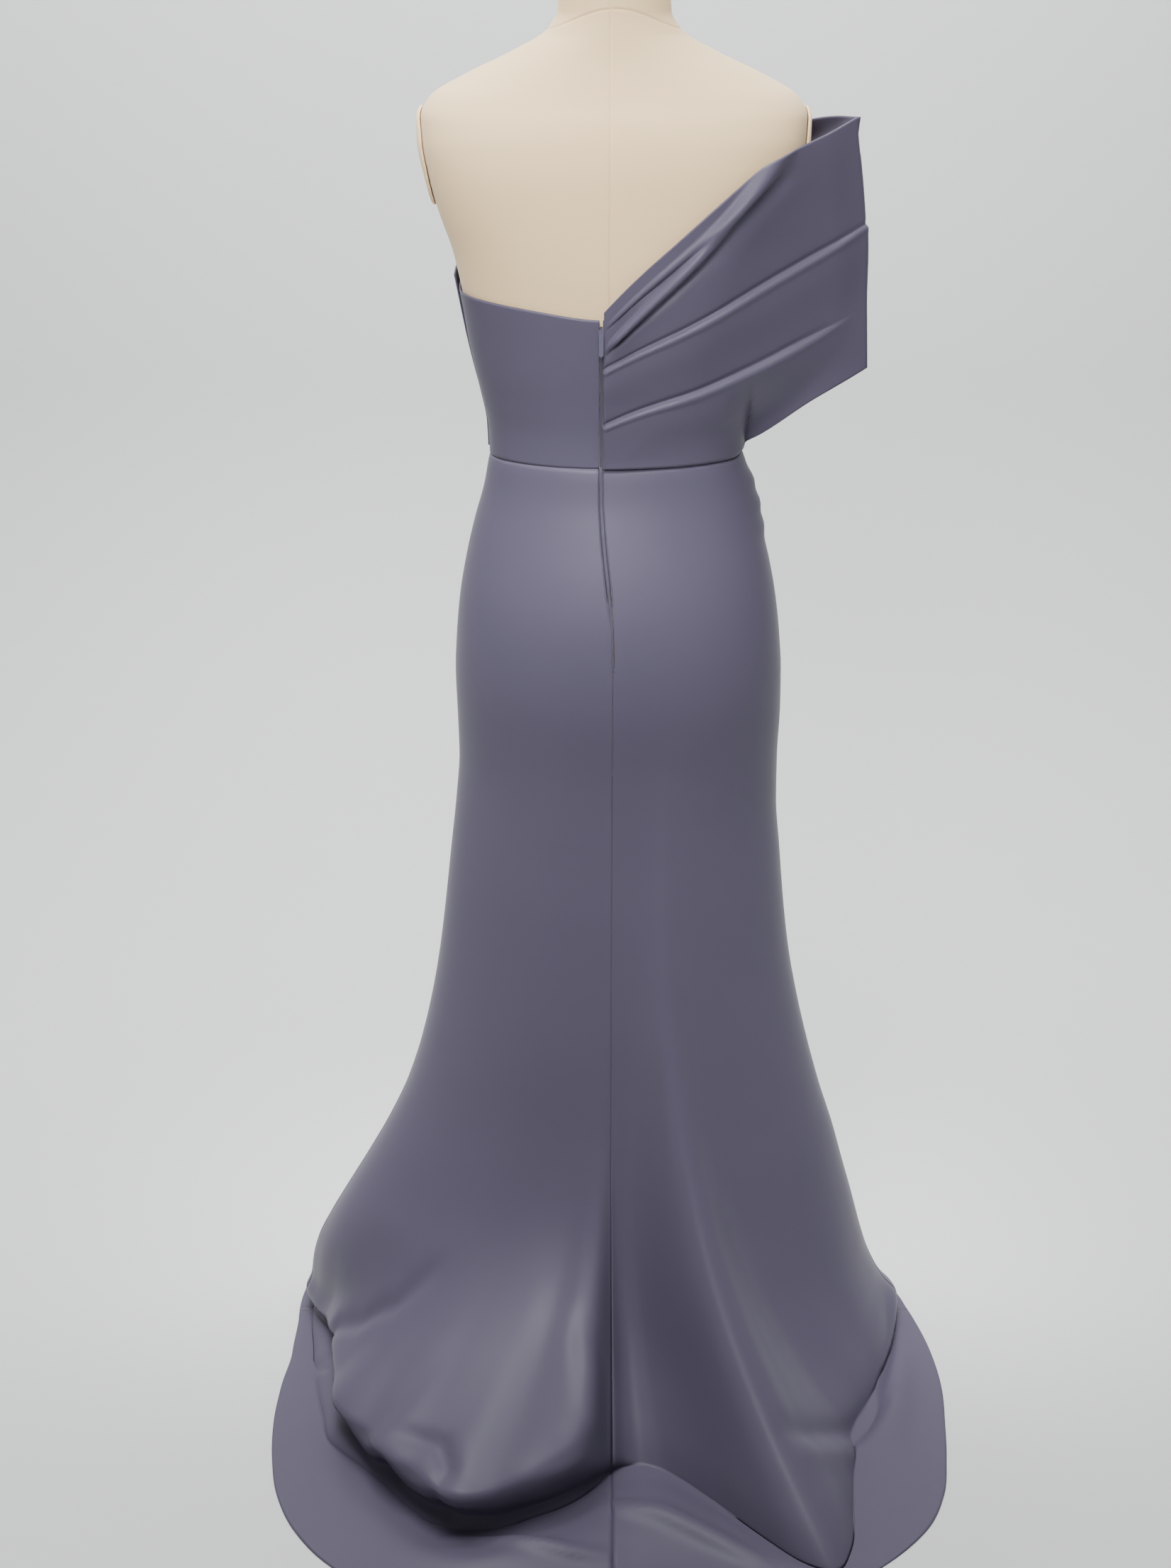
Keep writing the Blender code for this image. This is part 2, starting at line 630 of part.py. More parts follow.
def turned_piece(name, profile, lift, material, sides):
    """A round piece from its profile of (radius, height), lifted to its place and closed at both ends."""
    mesh = bmesh.new()
    rings = []
    for radius, height in profile:
        ring = []
        for k in range(sides):
            turn = tau * k / sides
            point = Vector((radius * cos(turn), radius * sin(turn), lift + height))
            ring.append(mesh.verts.new(point))
        rings.append(ring)
    for lower, upper in zip(rings, rings[1:]):
        for k in range(sides):
            m = (k + 1) % sides
            mesh.faces.new((lower[k], lower[m], upper[m], upper[k]))
    mesh.faces.new(rings[0][::-1])
    mesh.faces.new(rings[-1])
    finished(name, mesh, material)


def form_side(along, height):
    """How far out the form's side lies, at a distance towards the back or the front."""
    side = column(FORM, FORM_COLUMNS, "side", height)
    depth = column(FORM, FORM_COLUMNS, "back" if along > 0 else "front", height)
    square = column(FORM, FORM_COLUMNS, "square", height)
    return side * (1 - abs(along / depth) ** square) ** (1 / square)


def arm_plates(linen):
    """The oval plates that close the form's armholes."""
    edge, face = PLATE_THICK - PLATE_EDGE, PLATE_THICK
    rims = ((0.35, 0.0), (0.7, 0.0), (1.0, 0.0), (1.0, edge), (PLATE_ROUND, face), (0.5, face))
    for name, way in (("arm_plate_left", 1), ("arm_plate_right", -1)):
        mesh = bmesh.new()
        rings = []
        for size, out in rims:
            ring = []
            for k in range(28):
                turn = tau * k / 28
                y = PLATE_DEEP * size * cos(turn)
                z = PLATE_HEIGHT + PLATE_TALL * size * sin(turn)
                ring.append(mesh.verts.new((way * (form_side(y, z) + PLATE_GAP + out), y, z)))
            rings.append(ring)
        middle = mesh.verts.new((way * (form_side(0.0, PLATE_HEIGHT) + PLATE_GAP), 0.0, PLATE_HEIGHT))
        for k in range(28):
            m = (k + 1) % 28
            mesh.faces.new((middle, rings[0][k], rings[0][m]))
            for lower, upper in zip(rings, rings[1:]):
                mesh.faces.new((lower[k], lower[m], upper[m], upper[k]))
        mesh.faces.new(rings[-1])
        bmesh.ops.recalc_face_normals(mesh, faces=mesh.faces)
        finished(name, mesh, linen)


def stand(steel, black):
    """Neck cap, socket, pole and weighted base."""
    socket_foot = FORM_BOTTOM - SEAM_GAP - SOCKET_DEEP
    pole_ends = ((POLE_RADIUS, POLE_FOOT + SEAM_GAP), (POLE_RADIUS, socket_foot - SEAM_GAP))
    turned_piece("neck_cap", CAP_PROFILE, NECK_TOP + SEAM_GAP, black, 40)
    turned_piece("form_socket", SOCKET_PROFILE, socket_foot, black, 32)
    turned_piece("pole", pole_ends, 0.0, steel, 24)
    turned_piece("base", BASE_PROFILE, 0.0, black, 48)


def zip_fastener(coil, metal):
    """The closed chain in the back opening, its slider, and the tab that hangs from it."""
    heights = [row[0] for row in SKIRT if ZIP_END < row[0] < WAIST - 0.01]
    heights = sorted(set(heights + [WAIST - 0.002, WAIST + 0.002, ZIP_TOP]
                         + [row[0] for row in FORM if WAIST + 0.01 < row[0] < ZIP_TOP - 0.005]))
    half = ZIP_HALF - SEAM_GAP
    mesh = bmesh.new()
    rings = []
    for height in heights:
        if height < WAIST:
            back = hanging(0.0, height)
        else:
            turn = leaning(0.0, height, form_reach(0.0, height))
            back = at_turn(turn, fitted_reach(turn, height), height)
        corners = ((-half, 0.0), (half, 0.0), (half, CHAIN_THICK), (-half, CHAIN_THICK))
        rings.append([mesh.verts.new(back + Vector((x, y, 0.0))) for x, y in corners])
    for lower, upper in zip(rings, rings[1:]):
        for k in range(4):
            m = (k + 1) % 4
            mesh.faces.new((lower[k], lower[m], upper[m], upper[k]))
    mesh.faces.new(rings[0][::-1])
    mesh.faces.new(rings[-1])
    bmesh.ops.recalc_face_normals(mesh, faces=mesh.faces)
    finished("zip_chain", mesh, coil, smooth=False)

    height = ZIP_TOP - SLIDER_BELOW_TOP
    turn = leaning(0.0, height, form_reach(0.0, height))
    at = at_turn(turn, fitted_reach(turn, height), height)
    outside = at + Vector((0.0, CLOTH, 0.0))
    slab("zip_slider", metal, outside + Vector((0.0, SLIDER_OUT, 0.0)), SLIDER_HALF)
    pivot = outside + Vector((0.0, TAB_OUT, 0.0))
    slab("zip_tab", metal, pivot - Vector((0.0, 0.0, TAB_HALF[2] - TAB_EAR)), TAB_HALF, pivot)


def slab(name, material, middle, half, origin=None):
    """A small block with rounded corners, whose own origin is at its middle or where it turns."""
    origin = origin or middle
    mesh = bmesh.new()
    bmesh.ops.create_cube(mesh, size=2.0)
    for vert in mesh.verts:
        vert.co = Vector((vert.co.x * half[0], vert.co.y * half[1], vert.co.z * half[2]))
    corners = []
    for edge in mesh.edges:
        first, last = edge.verts
        if abs(first.co.y - last.co.y) > half[1]:
            corners.append(edge)
    bmesh.ops.bevel(mesh, geom=corners, offset=half[0] * SLAB_CORNER, segments=3, affect="EDGES")
    bmesh.ops.translate(mesh, verts=mesh.verts, vec=middle - origin)
    bmesh.ops.recalc_face_normals(mesh, faces=mesh.faces)
    made = finished(name, mesh, material, smooth=False)
    made.location = origin


def main():
    for old in list(bpy.data.objects):
        bpy.data.objects.remove(old)
    cloth = colour("heavy_satin", (0.165, 0.155, 0.215), 0.45)
    linen = colour("form_linen", (0.80, 0.72, 0.60), 0.85)
    black = colour("black_enamel", (0.03, 0.03, 0.03), 0.4)
    steel = colour("steel_tube", (0.55, 0.55, 0.56), 0.3, 1.0)
    coil = colour("zip_coil", (0.12, 0.11, 0.16), 0.5)
    metal = colour("zip_metal", (0.16, 0.15, 0.20), 0.4, 0.6)
    skirt_panels(cloth)
    bodice_panels(cloth)
    shoulder_drape(cloth)
    zip_fastener(coil, metal)
    form_body(linen)
    arm_plates(linen)
    stand(steel, black)


main()
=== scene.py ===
from math import cos, pi, radians, sin, sqrt, tau

import bpy
import numpy as np
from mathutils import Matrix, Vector


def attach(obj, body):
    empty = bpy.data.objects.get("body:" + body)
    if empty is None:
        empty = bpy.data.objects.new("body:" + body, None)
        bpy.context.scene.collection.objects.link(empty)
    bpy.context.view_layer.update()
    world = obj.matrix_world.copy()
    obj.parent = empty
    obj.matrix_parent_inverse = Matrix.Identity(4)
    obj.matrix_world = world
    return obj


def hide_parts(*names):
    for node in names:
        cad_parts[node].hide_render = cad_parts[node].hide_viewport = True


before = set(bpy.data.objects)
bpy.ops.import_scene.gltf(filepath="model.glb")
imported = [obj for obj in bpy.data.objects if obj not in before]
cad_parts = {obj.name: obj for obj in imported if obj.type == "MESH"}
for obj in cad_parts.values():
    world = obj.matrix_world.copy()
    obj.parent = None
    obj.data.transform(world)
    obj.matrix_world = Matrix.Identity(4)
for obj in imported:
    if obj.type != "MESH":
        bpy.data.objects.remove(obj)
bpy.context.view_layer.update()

# Metres, +Z up. The dress faces -Y and its train lies towards +Y. A turn is an angle about the upright
# axis, from the centre back (0) through the wearer's left (90 degrees) to the centre front.
TINY = 1e-9


# Helpers for materials
def hex_colour(code):
    """The linear colour of an sRGB hex value."""
    parts = [int(code[k:k + 2], 16) / 255 for k in (1, 3, 5)]
    return tuple(c / 12.92 if c <= 0.04045 else ((c + 0.055) / 1.055) ** 2.4 for c in parts) + (1.0,)


def node(tree, kind, settings=None, links=None):
    """Adds a node, sets its settings and sockets, and links sockets to it from (node, output)."""
    made = tree.nodes.new(kind)
    for name, value in (settings or {}).items():
        if name in made.inputs:
            made.inputs[name].default_value = value
        else:
            setattr(made, name, value)
    for name, (source, output) in (links or {}).items():
        tree.links.new(source.outputs[output], made.inputs[name])
    return made


def principled(name, settings):
    """A material, with these settings of its Principled shader."""
    material = bpy.data.materials.new(name)
    material.use_nodes = True
    shader = material.node_tree.nodes["Principled BSDF"]
    for socket, value in settings.items():
        shader.inputs[socket].default_value = value
    return material


def noise(tree, place, scale, detail):
    """A noise texture on the piece's own coordinates."""
    settings = {"Scale": scale, "Detail": detail}
    return node(tree, "ShaderNodeTexNoise", settings, {"Vector": (place, "Object")})


def woven(name, settings, tones, clouds, layers):
    """A cloth whose colour drifts between two tones, with layers of fine bumps.

    The drift of colour has a scale and a detail. Each layer has its scale, detail, strength and
    depth in metres, and lies on the layer before it.
    """
    material = principled(name, settings)
    tree = material.node_tree
    shader = tree.nodes["Principled BSDF"]
    place = node(tree, "ShaderNodeTexCoord")
    cloudy = noise(tree, place, *clouds)
    tone = node(tree, "ShaderNodeMix", {"data_type": "RGBA"}, {"Factor": (cloudy, "Fac")})
    tone.inputs[6].default_value = hex_colour(tones[0])
    tone.inputs[7].default_value = hex_colour(tones[1])
    tree.links.new(tone.outputs[2], shader.inputs["Base Color"])
    bump = None
    for scale, detail, strength, depth in layers:
        links = {"Height": (noise(tree, place, scale, detail), "Fac")}
        if bump:
            links["Normal"] = (bump, "Normal")
        bump = node(tree, "ShaderNodeBump", {"Strength": strength, "Distance": depth}, links)
    tree.links.new(bump.outputs["Normal"], shader.inputs["Normal"])
    return material


def satin(name, face, shade):
    """Duchesse satin: a thick polyester satin with long floats and a soft, wide lustre.

    Its threads are 0.15 mm apart and are drawn at 0.9 mm, as coarse as they need to show. A broad,
    shallow slackness lies over them.
    """
    settings = {"Roughness": 0.43, "IOR": 1.45, "Specular IOR Level": 0.20}
    threads = (1100.0, 1.0, 0.05, 0.0003)
    slack = (26.0, 2.0, 0.10, 0.002)
    return woven(name, settings, (face, shade), (9.0, 3.0), (threads, slack))


# Helpers for pieces
def mesh_piece(name, points, faces, material):
    """A smooth piece from its points and faces, in one material."""
    mesh = bpy.data.meshes.new(name)
    mesh.from_pydata(points, [], faces)
    mesh.update()
    mesh.shade_smooth()
    mesh.materials.append(material)
    piece = bpy.data.objects.new(name, mesh)
    bpy.context.scene.collection.objects.link(piece)
    return piece


def stands_for(piece, replaced):
    """Puts a piece in the place of a CAD node, which it hides."""
    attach(piece, "dress_on_form")
    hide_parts(replaced)


def give(name, material):
    """Shows a CAD piece as it is, in a material and a slot."""
    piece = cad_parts[name]
    piece.data.materials.clear()
    piece.data.materials.append(material)


# Skirt
# Three long panels of heavy duchesse satin, cut on a trumpet line with the train in one piece with the
# two backs. The skirt is close from waist to knee, then flares and breaks on the floor.
dress_satin = satin("duchesse_satin_woven", "#524d5e", "#4e4a5a")

WAIST = 1.020
# The cloth is thinner here than in the solids, and its seams are closer
SEAM_GAP = 0.0001
CLOTH = 0.0016
THINNER = 0.0004
ZIP_END = 0.831
ZIP_END_TALL = 0.006
ZIP_HALF = 0.0016
# The centre-back line leans to the wearer's left, from this height on and over this much of it
ZIP_LEAN = 0.012
ZIP_LEAN_FROM, ZIP_LEAN_TALL = 0.84, 0.16
ZIP_LEAN_WIDE = radians(38)
# Sections of the hanging skirt: height, reach to the left, right, front and back
SKIRT = np.array((
    (1.020, 0.1210, 0.1290, 0.0955, 0.0840),
    (0.985, 0.1275, 0.1380, 0.1010, 0.0920),
    (0.950, 0.1375, 0.1470, 0.1060, 0.1040),
    (0.910, 0.1470, 0.1580, 0.1100, 0.1170),
    (0.870, 0.1540, 0.1660, 0.1110, 0.1260),
    (0.830, 0.1580, 0.1710, 0.1100, 0.1295),
    (0.790, 0.1600, 0.1740, 0.1080, 0.1280),
    (0.750, 0.1590, 0.1745, 0.1060, 0.1225),
    (0.700, 0.1580, 0.1730, 0.1050, 0.1150),
    (0.650, 0.1620, 0.1735, 0.1050, 0.1105),
    (0.590, 0.1690, 0.1790, 0.1070, 0.1085),
    (0.530, 0.1760, 0.1850, 0.1100, 0.1085),
    (0.470, 0.1840, 0.1930, 0.1150, 0.1095),
    (0.410, 0.1950, 0.2050, 0.1220, 0.1120),
    (0.350, 0.2100, 0.2200, 0.1310, 0.1160),
    (0.295, 0.2290, 0.2360, 0.1420, 0.1215),
    (0.245, 0.2510, 0.2520, 0.1540, 0.1285),
    (0.195, 0.2770, 0.2660, 0.1680, 0.1385),
    (0.150, 0.3020, 0.2790, 0.1830, 0.1520),
    (0.110, 0.3240, 0.2900, 0.1980, 0.1700),
    (0.075, 0.3410, 0.3010, 0.2120, 0.1930),
    (0.045, 0.3500, 0.3140, 0.2240, 0.2200),
    (0.020, 0.3540, 0.3280, 0.2330, 0.2460),
    (0.000, 0.3560, 0.3380, 0.2400, 0.2650),
))
SKIRT_SQUARE = 2.1
# Where the hanging cloth meets the floor: turn in degrees from the centre back, reach
TOUCH = np.array((
    (-180, 0.236), (-168, 0.246), (-157, 0.275), (-148, 0.286), (-138, 0.278), (-126, 0.288),
    (-114, 0.306), (-102, 0.316), (-90, 0.330), (-80, 0.326), (-68, 0.324), (-57, 0.332),
    (-48, 0.352), (-41, 0.386), (-35, 0.430), (-30, 0.476), (-26.5, 0.496), (-24, 0.476),
    (-21, 0.420), (-18, 0.366), (-14, 0.318), (-10, 0.290), (-6, 0.281),
    (-3, 0.282), (0, 0.292), (3, 0.314), (8, 0.347), (13, 0.374), (18, 0.404), (24, 0.418),
    (31, 0.405), (37, 0.391), (44, 0.386), (50, 0.386), (58, 0.368), (68, 0.352), (80, 0.342),
    (95, 0.344), (110, 0.330), (122, 0.312), (134, 0.298), (145, 0.288), (153, 0.278),
    (162, 0.252), (172, 0.236), (180, 0.236),
))
# How high the flutes swell above the floor: turn in degrees, height
RISE = np.array((
    (-180, 0.26), (-100, 0.24), (-60, 0.22), (-45, 0.21), (-27, 0.20), (-14, 0.17), (-6, 0.13),
    (2, 0.11), (12, 0.08), (60, 0.08), (85, 0.14), (110, 0.22), (180, 0.26),
))
RISE_BEND = 1.25
# How high the cloth stands up from the floor where it breaks over it: turn in degrees, height
BREAK = np.array((
    (-180, 0.0), (-110, 0.0), (-99, 0.028), (-90, 0.030), (-75, 0.010), (-50, 0.0), (-5, 0.0),
    (0, 0.014), (4, 0.040), (8, 0.054), (14, 0.050), (22, 0.060), (30, 0.045), (36, 0.062),
    (41, 0.040), (48, 0.060), (58, 0.048), (70, 0.056), (84, 0.034), (92, 0.032), (97, 0.022),
    (108, 0.0), (180, 0.0),
))
# The same height without its unevenness, for the ramp that runs down to the break
BREAK_BROAD = np.array((
    (-180, 0.0), (-104, 0.0), (-92, 0.018), (-75, 0.008), (-50, 0.0), (-6, 0.0), (0, 0.020),
    (6, 0.054), (14, 0.056), (36, 0.053), (60, 0.050), (80, 0.040), (92, 0.030), (104, 0.0),
    (180, 0.0),
))
BREAK_FADES = 0.30
LIP_OUT = 0.24
# Shares of the break's height: how high its lip is and how tall, then how far, how high and from
# what foot the cloth draws in under it
LIP_HIGH, LIP_TALL = 0.8, 0.45
UNDER_IN, UNDER_HIGH, UNDER_FOOT = 0.22, 0.35, 0.3
LEAST_BREAK = 0.001
# How far the lip over the floor stands back from the line where the cloth meets the floor
INSET = np.array((
    (-180, 0.0), (20, 0.0), (28, 0.006), (38, 0.004), (48, 0.016), (58, 0.027), (68, 0.032),
    (78, 0.026), (86, 0.010), (92, 0.0), (180, 0.0),
))
INSET_FOOT = 0.020
INSET_FADES = 0.13
# The hem, flat on the floor: turn in degrees, reach
HEM = np.array((
    (-180, 0.262), (-165, 0.275), (-150, 0.306), (-130, 0.318), (-115, 0.328), (-98.7, 0.337),
    (-87.7, 0.352), (-77, 0.373), (-68, 0.395), (-59.7, 0.418), (-52.7, 0.445), (-46.4, 0.474),
    (-39.8, 0.497), (-31, 0.512), (-20, 0.524), (-10, 0.530), (0, 0.532), (10, 0.534),
    (22, 0.530), (33, 0.517), (40, 0.500), (46.6, 0.476), (53, 0.448), (60, 0.420), (68, 0.392),
    (77, 0.368), (88, 0.359), (99, 0.360), (115, 0.348), (130, 0.328), (150, 0.304), (165, 0.276),
    (180, 0.262),
))
LEAST_TRAIN = 0.016
# Low folds lying in the train: turn at their middle, how wide, share of the way out, how wide, height
TRAIN_FOLDS = (
    (12, 12, 0.42, 0.20, 0.012),
    (-8, 9, 0.36, 0.22, 0.014),
    (-62, 14, 0.30, 0.25, 0.008),
)
# Shares of the train over which those folds rise and fall
TRAIN_FOLD_RISES, TRAIN_FOLD_FALLS = 0.2, 0.25
# Tucks fanning out from the right side seam: height at the seam, height at the left seam, how high
TUCKS = ((0.990, 0.930, 0.0045), (0.968, 0.840, 0.0055), (0.946, 0.740, 0.0040))
TUCK_WIDE = 0.011
TUCK_RUNS = radians(150)
TUCK_FADES, TUCK_FADE_AT = radians(120), 1.15
TUCK_BEHIND = 0.2
# How far the cloth draws in at the waist seam, and over what height
WAIST_TUCK = 0.0013
WAIST_TUCK_TALL = 0.008
# Short folds near the floor: how wide, how high, then the places (x, y) that each runs through
FLOOR_FOLDS = (
    # crease from the left knob
    (0.010, -0.006, ((0.331, 0.118), (0.304, 0.112), (0.273, 0.137), (0.234, 0.151), (0.189, 0.144))),
    # curl beside the back seam
    (0.012, 0.006, ((0.030, 0.213), (0.024, 0.252), (0.026, 0.297), (0.042, 0.330), (0.084, 0.364))),
    # notch in the lip
    (0.010, -0.006, ((0.220, 0.309), (0.175, 0.334), (0.165, 0.370), (0.180, 0.387))),
    # fold on the floor, left
    (0.008, 0.007, ((0.164, 0.399), (0.107, 0.408), (0.045, 0.425), (0.004, 0.430))),
    # fold on the floor, right
    (0.011, 0.008, ((0.007, 0.356), (-0.047, 0.373), (-0.107, 0.408), (-0.151, 0.436))),
    # dimple on the right
    (0.012, -0.006, ((-0.181, 0.319), (-0.206, 0.295), (-0.250, 0.243), (-0.304, 0.166))),
    # soft ridge under it
    (0.014, 0.004, ((-0.197, 0.328), (-0.231, 0.287), (-0.280, 0.231))),
)
# The height at which they end and how softly, and how they taper at their own two ends
FLOOR_FOLDS_FADE, FLOOR_FOLDS_SOFT = 0.24, 0.06
FLOOR_FOLDS_TIP, FLOOR_FOLDS_TAPER = 0.35, 0.6
FAR = 9.0
# Long soft folds: turn and height where each starts, turn and height where it ends, how wide, depth
FOLDS = (
    (6, 0.62, 22, 0.16, 0.030, -0.0020),
    (-4, 0.55, -14, 0.10, 0.026, -0.0030),
    (-38, 0.42, -47, 0.06, 0.024, -0.0050),
    (120, 0.60, 126, 0.05, 0.034, -0.0060),
    (165, 0.66, 168, 0.05, 0.036, -0.0050),
    (-128, 0.52, -134, 0.05, 0.032, -0.0050),
    (-164, 0.70, -170, 0.05, 0.030, -0.0035),
)
# How a long fold bends, grows, dies away above the floor and widens on its way down
FOLD_BEND, FOLD_GROWS = 1.2, 0.7
FOLD_FOOT, FOLD_OVER_FOOT = 0.3, 0.7
FOLD_STARTS_WIDE = 0.5


def smooth_step(value):
    value = np.clip(value, 0.0, 1.0)
    return value * value * (3 - 2 * value)


def bell(distance, width):
    return np.exp(-((distance / width) ** 2))


def turned(turn, middle):
    """How far one turn is from another, the short way round."""
    return (turn - middle + pi) % tau - pi


def smooth_curve(places, values, at):
    """A smooth curve through the values, which never swings past them."""
    places, values = np.asarray(places, float), np.asarray(values, float)
    order = np.argsort(places)
    places, values = places[order], values[order]
    rises = np.diff(values) / np.diff(places)
    slopes = np.empty(len(values))
    slopes[0], slopes[-1] = rises[0], rises[-1]
    before, after = rises[:-1], rises[1:]
    both = before * after > 0
    total = np.where(both, before + after, 1.0)
    slopes[1:-1] = np.where(both, 2 * before * after / total, 0.0)
    at = np.clip(np.asarray(at, float), places[0], places[-1])
    k = np.clip(np.searchsorted(places, at, side="right") - 1, 0, len(places) - 2)
    step = places[k + 1] - places[k]
    t = (at - places[k]) / step
    return (
        values[k] * (1 + 2 * t) * (1 - t) ** 2
        + slopes[k] * step * t * (1 - t) ** 2
        + values[k + 1] * t * t * (3 - 2 * t)
        + slopes[k + 1] * step * t * t * (t - 1)
    )


def oval(turn, side, depth, square):
    """How far an oval section reaches from the upright axis at a turn."""
    across = np.abs(np.sin(turn) / side) ** square
    along = np.abs(np.cos(turn) / depth) ** square
    return (across + along) ** (-1 / square)


def zip_side(height):
    """How far the centre-back line leans to the wearer's left."""
    return ZIP_LEAN * smooth_step((height - ZIP_LEAN_FROM) / ZIP_LEAN_TALL)


def lean_turn(turn, height, reach):
    """The turn of a column of cloth, which follows the centre-back line where it leans."""
    return turn + zip_side(height) / reach * bell(turned(turn, 0.0), ZIP_LEAN_WIDE)


def around(table, turn):
    """A value that a table gives for turns in degrees from the centre back."""
    return smooth_curve(table[:, 0], table[:, 1], np.degrees(turned(turn, 0.0)))


def section(table, turn, height):
    """The half width and the depth of an uneven section at a turn."""
    left, right, front, back = (smooth_curve(table[:, 0], table[:, k], height) for k in (1, 2, 3, 4))
    side = np.where(np.sin(turn) > 0, left, right)
    return side, np.where(np.cos(turn) > 0, back, front)


def skirt_oval(turn, height):
    """How far the skirt would reach without its flutes and folds."""
    side, depth = section(SKIRT, turn, height)
    return oval(turn, side, depth, SKIRT_SQUARE)


def fluted_reach(turn, height):
    """How far the skirt reaches with its flutes and with its break over the floor."""
    lifted = around(BREAK, turn)
    broad = around(BREAK_BROAD, turn)
    level = np.maximum(0.0, height - broad) / (1 - broad / BREAK_FADES)
    level = np.where(height < BREAK_FADES, level, height)
    swell = np.exp(-((level / around(RISE, turn)) ** RISE_BEND))
    out = around(TOUCH, turn) - skirt_oval(turn, np.zeros_like(turn))
    reach = skirt_oval(turn, level) + out * swell
    tall = np.maximum(lifted, LEAST_BREAK)
    reach = reach + LIP_OUT * lifted * bell(height - LIP_HIGH * tall, LIP_TALL * tall)
    under = bell(height - UNDER_HIGH * tall, UNDER_HIGH * tall)
    reach = reach - UNDER_IN * lifted * under * smooth_step(height / (UNDER_FOOT * tall))
    inset = smooth_step(height / INSET_FOOT) * (1 - smooth_step((height - tall) / INSET_FADES))
    return reach - around(INSET, turn) * inset


def with_tucks(reach, turn, height):
    """Adds the tucks below the waist and draws the cloth in at the waist seam."""
    along = -turned(turn, radians(-90))
    for at_seam, at_left, tuck in TUCKS:
        line = at_seam + (at_left - at_seam) * np.maximum(along, 0.0) / TUCK_RUNS
        fade = np.where(along > 0, smooth_step(TUCK_FADE_AT - along / TUCK_FADES), bell(along, TUCK_BEHIND))
        reach = reach + tuck * fade * bell(height - line, TUCK_WIDE)
    return reach - WAIST_TUCK * smooth_step((height - WAIST) / WAIST_TUCK_TALL + 1)


def with_folds(reach, turn, height):
    """Adds the long soft folds."""
    for turn_start, high, turn_end, low, wide, deep in FOLDS:
        down = np.clip((high - height) / (high - low), 0.0, 1.0)
        middle = radians(turn_start) + radians(turn_end - turn_start) * down ** FOLD_BEND
        grow = smooth_step(down / FOLD_GROWS)
        grow = grow * smooth_step((height - low * FOLD_FOOT) / (low * FOLD_OVER_FOOT))
        off = turned(turn, middle) * reach
        reach = reach + deep * grow * bell(off, wide * (FOLD_STARTS_WIDE + down))
    return reach


def skirt_reach(turn, height):
    """How far the inside of the hanging skirt reaches from the axis."""
    reach = with_tucks(fluted_reach(turn, height), turn, height)
    return with_folds(reach, turn, height)


def placed(turn, reach, height):
    """Points at their turns, reaches and heights, as an array of x, y, z."""
    return np.stack((reach * np.sin(turn), reach * np.cos(turn), height), axis=-1)


def hanging(turn, height):
    """Points inside the hanging skirt."""
    turn = lean_turn(turn, height, skirt_reach(turn, height))
    return placed(turn, skirt_reach(turn, height), height)


def lying(turn, share):
    """Points under the train, from where the skirt meets the floor (0) to the hem (1)."""
    inner = skirt_reach(turn, np.zeros_like(turn))
    outer = np.maximum(around(HEM, turn), inner + LEAST_TRAIN)
    rise = np.zeros_like(turn)
    for middle, wide, out, deep, tall in TRAIN_FOLDS:
        rise = rise + tall * bell(turned(turn, radians(middle)), radians(wide)) * bell(share - out, deep)
    rise = rise * smooth_step(share / TRAIN_FOLD_RISES) * smooth_step((1 - share) / TRAIN_FOLD_FALLS)
    return placed(turn, inner + (outer - inner) * share, rise)


def square_to(grid):
    """The directions square to a surface at each of its points."""
    outwards = np.cross(np.gradient(grid, axis=1), np.gradient(grid, axis=0))
    return outwards / np.maximum(np.linalg.norm(outwards, axis=2, keepdims=True), TINY)


def along_path(place, path):
    """How far each place lies from a path, and what share of the path it lies beside."""
    nearest = np.full(place.shape[:2], FAR)
    share = np.zeros(place.shape[:2])
    stops = np.array(path)
    for k in range(len(stops) - 1):
        step = stops[k + 1] - stops[k]
        along = np.clip(((place - stops[k]) @ step) / (step @ step), 0.0, 1.0)
        away = np.linalg.norm(place - stops[k] - along[:, :, None] * step, axis=2)
        closer = away < nearest
        nearest = np.where(closer, away, nearest)
        share = np.where(closer, (k + along) / (len(stops) - 1), share)
    return nearest, share


def folded_low(grid):
    """Adds the short folds near the floor to a panel's points, square to its surface."""
    outwards = square_to(grid)
    if outwards[-1, :, 2].mean() < 0:
        outwards = -outwards
    raised = np.zeros(grid.shape[:2])
    for wide, tall, path in FLOOR_FOLDS:
        nearest, share = along_path(grid[:, :, :2], path)
        middle = np.sin(pi * np.clip(share, 0.0, 1.0)) ** FLOOR_FOLDS_TAPER
        raised += tall * (FLOOR_FOLDS_TIP + (1 - FLOOR_FOLDS_TIP) * middle) * bell(nearest, wide)
    raised *= smooth_step((FLOOR_FOLDS_FADE - grid[:, :, 2]) / FLOOR_FOLDS_SOFT)
    moved = grid + outwards * raised[:, :, None]
    moved[:, :, 2] = np.maximum(moved[:, :, 2], np.minimum(grid[:, :, 2], 0.0))
    return moved


